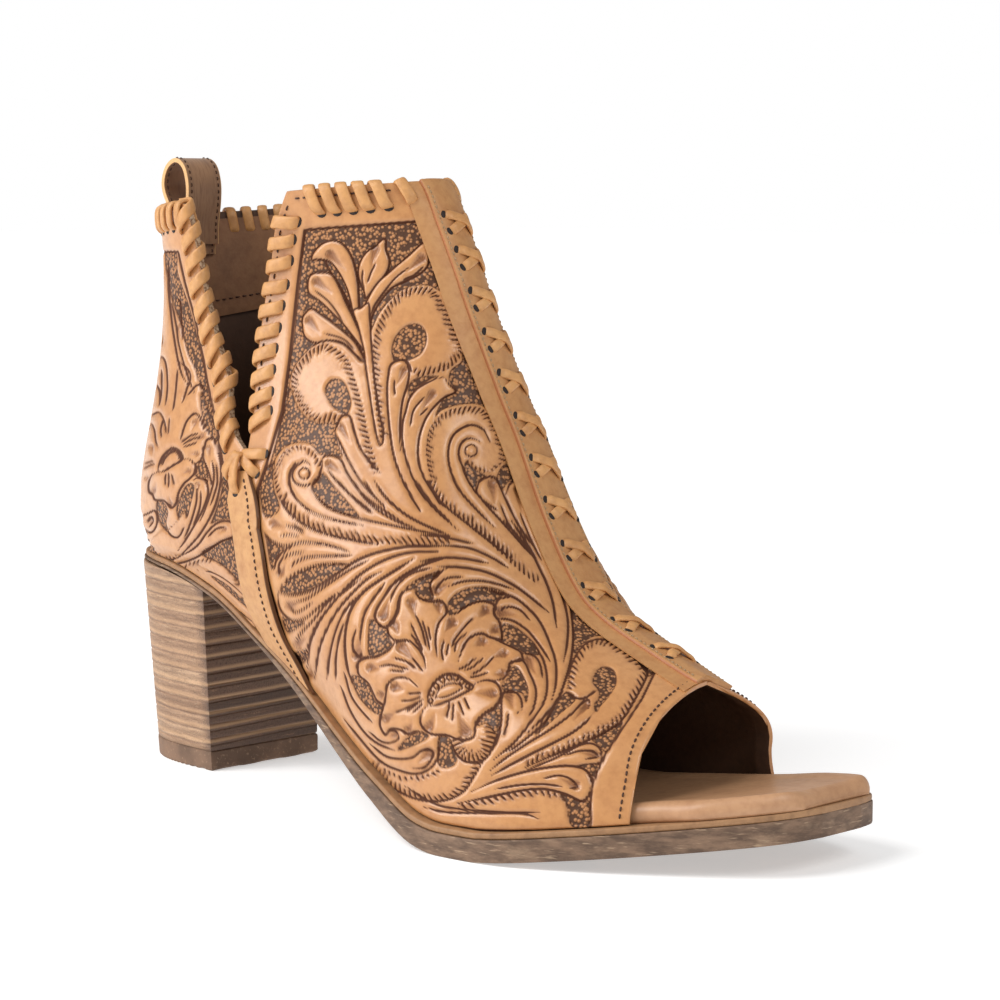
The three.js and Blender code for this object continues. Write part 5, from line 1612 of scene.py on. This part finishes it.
loop_line = flow(LOOP_PATH, 90)
loop_along = unit(np.gradient(loop_line, axis=0))
loop_out = np.stack([-loop_along[:, 1], loop_along[:, 0]], -1)
LOOP_HALF_THICK = 0.6
RIBBON_SIDE = [(-1.0, 1), (-0.93, 1.05), (-0.6, 1), (0, 1), (0.6, 1), (0.93, 1.05), (1, 1)]


def pull_loop():
    """The ribbon's section carried along its path, with its woven edges marked."""
    ring = []
    for y, k in [(-1, -1)] + RIBBON_SIDE + [(-y, -k) for y, k in RIBBON_SIDE]:
        spot = loop_line + loop_out * LOOP_HALF_THICK * k
        ring.append(np.stack([spot[:, 0], np.full(len(spot), y * LOOP_HALF), spot[:, 1]], -1))
    grid = np.stack(ring, 1)
    rim = np.zeros(grid.shape[:2])
    rim[:, [0, 1, 7, 8, 14]] = 1
    grid_piece(grid, "loop_ribbon", [loop_ribbon], "pull_loop", {"rim": rim},
               angle=50)


pull_loop()


# Lacing, stitches and the band inside the collar

def settle(q, w, t, side):
    """The places on the upper's face nearest to the points q, found from the starts w and t."""
    w = w + np.zeros(q.shape[:-1])
    t = t + np.zeros(q.shape[:-1])
    for _ in range(6):
        w0 = np.maximum(w - 0.003, 0)
        w1 = np.minimum(w + 0.003, 1)
        t0 = np.maximum(t - 0.003, 0)
        t1 = np.minimum(t + 0.003, 1)
        r = q - face_point(w, t, side)
        a = (face_point(w1, t, side) - face_point(w0, t, side)) / (w1 - w0)[..., None]
        b = (face_point(w, t1, side) - face_point(w, t0, side)) / (t1 - t0)[..., None]
        aa = np.sum(a * a, -1)
        ab = np.sum(a * b, -1)
        bb = np.sum(b * b, -1)
        ra = np.sum(r * a, -1)
        rb = np.sum(r * b, -1)
        det = np.maximum(aa * bb - ab * ab, 1e-9)
        w = np.clip(w + (ra * bb - rb * ab) / det, 0, 1)
        t = np.clip(t + (rb * aa - ra * ab) / det, 0, 1)
    return face_point(w, t, side), face_normal(w, t, side)


class Edge:
    """An edge of the upper: its line by length, with the ways out, along and into the leather."""

    def __init__(self, w, t, side, inward_w, inward_t):
        self.side = side
        fine = np.linspace(0, 1, 300)
        w = np.interp(fine, np.linspace(0, 1, len(w)), w)
        t = np.interp(fine, np.linspace(0, 1, len(t)), t)
        p = face_point(w, t, side)
        s = run_length(p)
        self.length = s[-1]
        self.w = curve(s, w)
        self.t = curve(s, t)
        self.inward = (inward_w, inward_t)

    def frame(self, s):
        w = self.w(s)
        t = self.t(s)
        p = face_point(w, t, self.side)
        ahead = face_point(self.w(s + 0.8), self.t(s + 0.8), self.side)
        behind = face_point(self.w(s - 0.8), self.t(s - 0.8), self.side)
        along = unit(ahead - behind)
        inner = face_point(np.clip(w + 0.01 * self.inward[0], 0, 1), t + 0.01 * self.inward[1],
                           self.side) - p
        inner = unit(inner - along * np.sum(inner * along, -1, keepdims=True))
        return p, face_normal(w, t, self.side), along, inner

    def place(self, s, inward, out, shift=0.0):
        """Points that far into the leather, out from its face and along from the station s."""
        p, n, along, inner = self.frame(s)
        inward = np.asarray(inward, float) + 0 * p[..., 0]
        q = p + inner * np.maximum(inward, 0)[..., None] + along * (shift + 0 * inward)[..., None]
        near = [line(s) + 0.02 * step for line, step in zip((self.w, self.t), self.inward)]
        face, normal = settle(q, *near, self.side)
        over = np.minimum(inward, 0)[..., None]
        return face + inner * over + normal * (out + 0 * inward)[..., None], normal, along, inner


laces = {-1: bmesh.new(), 1: bmesh.new()}
holes = bmesh.new()
dark_rows = bmesh.new()
pale_rows = bmesh.new()
LACE_HALF_THICK = 0.62
# A lace's flat section with round corners
LACE_RING = [(math.cos(a) * abs(math.cos(a)) ** -0.35, math.sin(a) * abs(math.sin(a)) ** -0.2)
             for a in np.radians(np.arange(18, 378, 36))]


def lace(bm, path, out, half_wide, half_thick, section=LACE_RING):
    """A flat strip of lace along the path; out is the way that its broad face looks."""
    tangent = unit(np.gradient(path, axis=0))
    across = unit(np.cross(tangent, out))
    face = unit(np.cross(across, tangent))
    ring = [path + across * half_wide * a + face * half_thick * b for a, b in section]
    lay_grid(bm, np.stack(ring + ring[:1], 1))


def hole(centre, normal, along, half_long, half_wide):
    """Painted shade at the mouth of a lacing hole: a dark, shallow dome on the leather."""
    other = unit(np.cross(normal, along))
    along = unit(np.cross(other, normal))
    place = np.eye(4)
    place[:3] = np.stack([along * half_long, other * half_wide, normal * 0.18, centre], -1) * MM
    bmesh.ops.create_icosphere(holes, subdivisions=2, radius=1.0, matrix=Matrix(place.tolist()))


# One turn of the lacing: into the leather, out from its face
WRAP = [
    (6.7, -0.5), (6.3, 0.35), (5.4, 0.95), (3.4, 1.15), (1.0, 1.0), (-0.3, 0.5), (-0.75, -0.7),
    (-0.4, -2.0), (0.7, -2.75), (3.2, -2.8), (5.8, -2.7), (6.5, -1.7),
]


def whip(laces, edge, stations, slant, half_wide, reach=1.0):
    """Lace wound over an edge through a row of holes."""
    turn = flow([(a * reach if a > 0 else a, b, k) for k, (a, b) in enumerate(WRAP)], 26)
    way = np.gradient(turn[:, :2], axis=0)
    size = len(turn)
    count = len(stations)
    inward, lift, shift = (np.tile(v, count) for v in (
        turn[:, 0], turn[:, 1], slant * np.linspace(0, 1, size)))
    place = edge.place(np.repeat(stations, size), inward, lift, shift)
    path, normal, _, inner = (v.reshape(count, size, 3) for v in place)
    mouths, up_normal, up, _ = edge.place(stations, 6.9 * reach, 0.02)
    for i in range(count):
        out = normal[i] * -way[:, :1] + inner[i] * way[:, 1:]
        lace(laces, path[i], unit(out), half_wide, LACE_HALF_THICK)
        hole(mouths[i], up_normal[i], up[i], half_wide * 0.85, 1.0)


# A thread's round section, and how it rises and dives over one stitch
THREAD_RING = [(math.cos(a), math.sin(a)) for a in np.radians(np.arange(0, 360, 60))]
RUNNING = np.array([-0.8, -0.45, 0.0, 0.17, 0.17, 0.0, -0.45, -0.8])


def stitch_row(bm, points, normals, pitch, thick):
    """A thread sewn along a line: it lies on the leather and dives between the stitches."""
    s = run_length(points)
    count = int(s[-1] / pitch)
    at = (np.arange(count * 8) + 0.5) / 8 * pitch
    p, n = (np.stack([np.interp(at, s, v[:, k]) for k in range(3)], -1) for v in (points, normals))
    lace(bm, p + n * np.tile(RUNNING, count)[:, None], n, thick, thick, THREAD_RING)


def ends_between(edge, start, stop, count):
    """Stations for count turns of lace on an edge, clear of its ends by start and stop."""
    return start + (edge.length - start - stop) * (np.arange(count) + 0.5) / count


def edge_stitches(edge, stations, inward, pitch):
    """A row of stitches that follows an edge, that far into the leather."""
    line, normal, _, _ = edge.place(stations, inward, 0.05)
    stitch_row(dark_rows, line, normal, pitch, 0.26)


notch_w = np.linspace(0.625, 1, 60)
for side, bm in laces.items():
    front = Edge(notch_w, FRONT_EDGE(notch_w), side, 0, 1)
    whip(bm, front, ends_between(front, 6.5, 3.0, 10), -7.0, 1.8)
    back = Edge(notch_w, BACK_EDGE(notch_w), side, 0, -1)
    whip(bm, back, ends_between(back, 3.0, 3.0, 11), 8.5, 1.75, 0.8)
    edge_stitches(front, np.linspace(6, front.length - 2, 60), 2.1, 2.4)
    top_t = np.linspace(FRONT_EDGE(1.0), t_at(np.array([1.0]), side, STRIP_HALF)[0], 40)
    collar = Edge(np.ones(40), top_t, side, -1, 0)
    whip(bm, collar, ends_between(collar, 8.0, -3.6, 6), -7.0, 1.65)
    edge_stitches(collar, np.linspace(2, collar.length, 40), 2.1, 2.4)
    heel_collar = Edge(np.ones(40), np.linspace(0.03, BACK_EDGE(1.0), 40), side, -1, 0)
    whip(bm, heel_collar, ends_between(heel_collar, 5.5, 1.5, 7), 3.4, 1.45, 0.95)
    toe = Edge(np.zeros(60), np.linspace(0.03, 0.93, 60), side, 1, 0)
    edge_stitches(toe, np.linspace(1, toe.length - 1, 80), 2.5, 1.8)
    u = np.linspace(0.03, 0.985, 120)
    line, under = (strap_place(u, np.full(120, 0.75), side, np.full(120, lift))
                   for lift in (GAP + 1.1, GAP))
    stitch_row(dark_rows, line, unit(line - under), 1.9, 0.27)
for d in (STRIP_STEP + 1.1, STRIP_HALF - 1.5):
    W = np.linspace(0.012, 0.99, 200)[:, None]
    line, under = (strip_place(W, np.full(W.shape, d), np.full(W.shape, lift))[:, 0]
                   for lift in (GAP + 0.92, 0.0))
    stitch_row(pale_rows, line, unit(line - under), 1.5, 0.24)

# Laces crossed over the ridge, by the height at which their upper and lower holes show
CROSSES = [
    (214, 231), (249, 267), (290, 308), (331, 349), (372, 390), (415, 433), (457, 474), (499, 516),
    (543, 558), (585, 598), (618.5, 630), (646, 657),
]
ridge_w = np.linspace(0.001, 0.999, 240)[:, None]
ridge_v = to_photo(strip_place(ridge_w, np.full((240, 1), -1.4), np.full((240, 1), 1.3)))[:, 0, 1]
k = np.linspace(0, 1, 19)
D = (-1.5 + 9.0 * k)[:, None]
rise = GAP + 0.6 + 1.0 * np.sin(np.clip(np.minimum(k, 1 - k) / 0.16, 0, 1) * math.pi / 2)
hump = 0.85 * np.exp(-((k - 0.5) / 0.2) ** 2)
for v_upper, v_lower in CROSSES:
    w_upper, w_lower = np.interp([v_upper, v_lower], ridge_v[::-1], ridge_w[::-1, 0])
    for start, stop, over in ((w_upper, w_lower, 1), (w_lower, w_upper, 0)):
        W = (start + (stop - start) * k)[:, None]
        path = strip_place(W, D, (rise + over * hump)[:, None])[:, 0]
        under = strip_place(W, D, np.zeros(D.shape))[:, 0]
        lace(laces[-1], path, unit(path - under), 1.35, 0.5)
        for i, j in ((0, 1), (-1, -2)):
            away = 0.55 if i else -0.55
            at = strip_place(W[[i]], D[[i]] + away, np.full((1, 1), GAP + 1.05))[0, 0]
            hole(at, unit(path[i] - under[i]), path[j] - path[i], 0.8, 1.15)


def from_photo(u, v, w, t):
    """The place on the outer face that shows at that point of the photograph."""
    for _ in range(12):
        here = to_photo(face_point(w, t, -1))
        a = (to_photo(face_point(w + 0.002, t, -1)) - here) / 0.002
        b = (to_photo(face_point(w, t + 0.002, -1)) - here) / 0.002
        dw, dt = np.linalg.solve(np.array([a, b]).T, np.array([u, v]) - here)
        w = min(max(w + dw, 0.05), 0.95)
        t = min(max(t + dt, 0.05), 0.95)
    return w, t


# The notch's foot: the last turns fan out from it
FOOT_HOLES = [(265.5, 454), (256.5, 474), (239.5, 493), (230, 477)]
foot = np.array(from_photo(245.5, 456, 0.61, 0.475))
for side, bm in laces.items():
    for number, (u, v) in enumerate(FOOT_HOLES):
        # The last two lie on the strap
        on_strap = 1.3 * (number > 1)
        start = np.array(from_photo(u, v, 0.6, 0.48))
        k = np.linspace(0, 1, 22)
        place = start + (foot - start) * np.minimum(k * 1.25, 1.0)[:, None]
        face = face_point(place[:, 0], place[:, 1], side)
        n = face_normal(place[:, 0], place[:, 1], side)
        lift = np.interp(k, [0, 0.07, 0.2, 0.5, 0.72, 0.82, 0.9, 1],
                         [-0.6, 0.5, 1.15, 1.5, 1.5, 1.0, -0.2, -2.8])
        lift = lift + (0.2 * number + on_strap) * (k < 0.85)
        into = np.clip(k - 0.8, 0, 1)[:, None] * np.array([0.0, 0.0, 6.0])
        path = flow(face + n * lift[:, None] + into, 22)
        lace(bm, path, n, 1.6, LACE_HALF_THICK)
        spot = start + (start - foot) * 0.04
        mouth = face_point(spot[0], spot[1], side) + n[0] * (on_strap + 0.05 * (number > 1))
        hole(mouth, n[0], np.cross(n[0], path[4] - path[0]), 1.3, 0.9)

finish_mesh(laces[-1], "lacing_outer", [lace_leather], None)
finish_mesh(laces[1], "lacing_inner", [lace_leather], None)
# The dark domes are painted shade at the mouths of the lacing holes
finish_mesh(holes, "lacing_hole_shadows", [hole_shadow_paint], None, fill=False)


COLLAR_BAND_WIDE = 29.0


def collar_band(side, name):
    """The lining's upper band inside the back of the collar, with stitches along its lower edge."""
    rows = np.linspace(0.7, 1, 80)
    below = np.linalg.norm(face_point(rows, 0.2, side) - face_point(1.0, 0.2, side), axis=1)
    low = np.interp(-COLLAR_BAND_WIDE, -below, rows)
    w = np.linspace(low, 0.992, 40)
    t = 0.012 + (BACK_EDGE(w) - 0.035)[:, None] * np.linspace(0, 1, 40)
    p, n, _ = shell_points(w, t, side)
    thin_band(p - n * (WALL + 0.95), p - n * (WALL + 0.15), name, None, collar_lining)
    t = np.linspace(0.03, BACK_EDGE(low) - 0.04, 60)
    line, normal, _ = shell_points(np.array([low + 0.016]), t[None], side)
    stitch_row(dark_rows, (line - normal * (WALL + 1.0))[0], -normal[0], 2.0, 0.24)


collar_band(-1, "collar_band_outer")
collar_band(1, "collar_band_inner")
for y in (-4.9, 4.9):
    for way in (-1, 1):
        spot = loop_line + way * 0.62 * loop_out
        level = np.full(len(spot), y)
        normals = np.stack([loop_out[:, 0], 0 * level, loop_out[:, 1]], -1) * way
        stitch_row(dark_rows, np.stack([spot[:, 0], level, spot[:, 1]], -1), normals, 1.9, 0.22)
finish_mesh(dark_rows, "stitches_dark", [dark_thread], None)
finish_mesh(pale_rows, "stitches_pale", [pale_thread], None)


# Floor, light and world

def floor_piece():
    """A pale sheet with painted light: it glows, less near the shoe and a little more further off,
    so that it runs into the background.
    """
    bm = bmesh.new()
    bmesh.ops.create_grid(bm, x_segments=8, y_segments=8, size=9.0)
    mesh = bpy.data.meshes.new("floor")
    bm.to_mesh(mesh)
    bm.free()
    f = Finish("floor_glow")
    x = f.axis("X")
    y = f.axis("Y")
    # Painted light: the glow is weaker near the shoe, where its shadow falls, and stronger further
    # off
    glow = (x * x + y * y).band(0.1, 1.2) * 0.2 + 0.42
    light = f.colour((0, 0, 0, 1)).mix(f.colour((1, 1, 1, 1)), glow)
    mesh.materials.append(f.close((0.8, 0.8, 0.8, 1.0), 0.9, None, Specular_IOR_Level=0.1,
                                  Emission_Color=light, Emission_Strength=1.0))
    floor = bpy.data.objects.new("floor", mesh)
    bpy.context.scene.collection.objects.link(floor)


floor_piece()

world = bpy.data.worlds.new("studio")
bpy.context.scene.world = world
world.use_nodes = True
sky = world.node_tree
sky.nodes["Background"].inputs[0].default_value = (1, 1, 1, 1)
eye = sky.nodes.new("ShaderNodeLightPath")
level = sky.nodes.new("ShaderNodeMapRange")
level.inputs["To Min"].default_value = 0.34
level.inputs["To Max"].default_value = 1.0
sky.links.new(eye.outputs["Is Camera Ray"], level.inputs["Value"])
sky.links.new(level.outputs[0], sky.nodes["Background"].inputs[1])
bpy.context.scene.view_settings.view_transform = "Standard"

MIDDLE = Vector((0.06, 0, 0.07))


def lamp(name, kind, direction, energy, **settings):
    """A lamp looking at the shoe from a direction; a sun, or a softbox at that place."""
    data = bpy.data.lights.new(name, kind)
    data.energy = energy
    for key, value in settings.items():
        setattr(data, key, value)
    piece = bpy.data.objects.new(name, data)
    piece.location = MIDDLE + Vector(direction)
    piece.rotation_euler = (-Vector(direction)).to_track_quat("-Z", "Y").to_euler()
    bpy.context.scene.collection.objects.link(piece)


lamp("key", "SUN", (-0.25, -1.0, 1.3), 1.2, angle=math.radians(24))
lamp("side_box", "AREA", (-0.62, -0.85, 0.5), 8.0, shape="RECTANGLE", size=0.4, size_y=0.8)
lamp("toe_box", "AREA", (0.9, -0.1, 0.7), 3.0, shape="RECTANGLE", size=0.4, size_y=0.4)
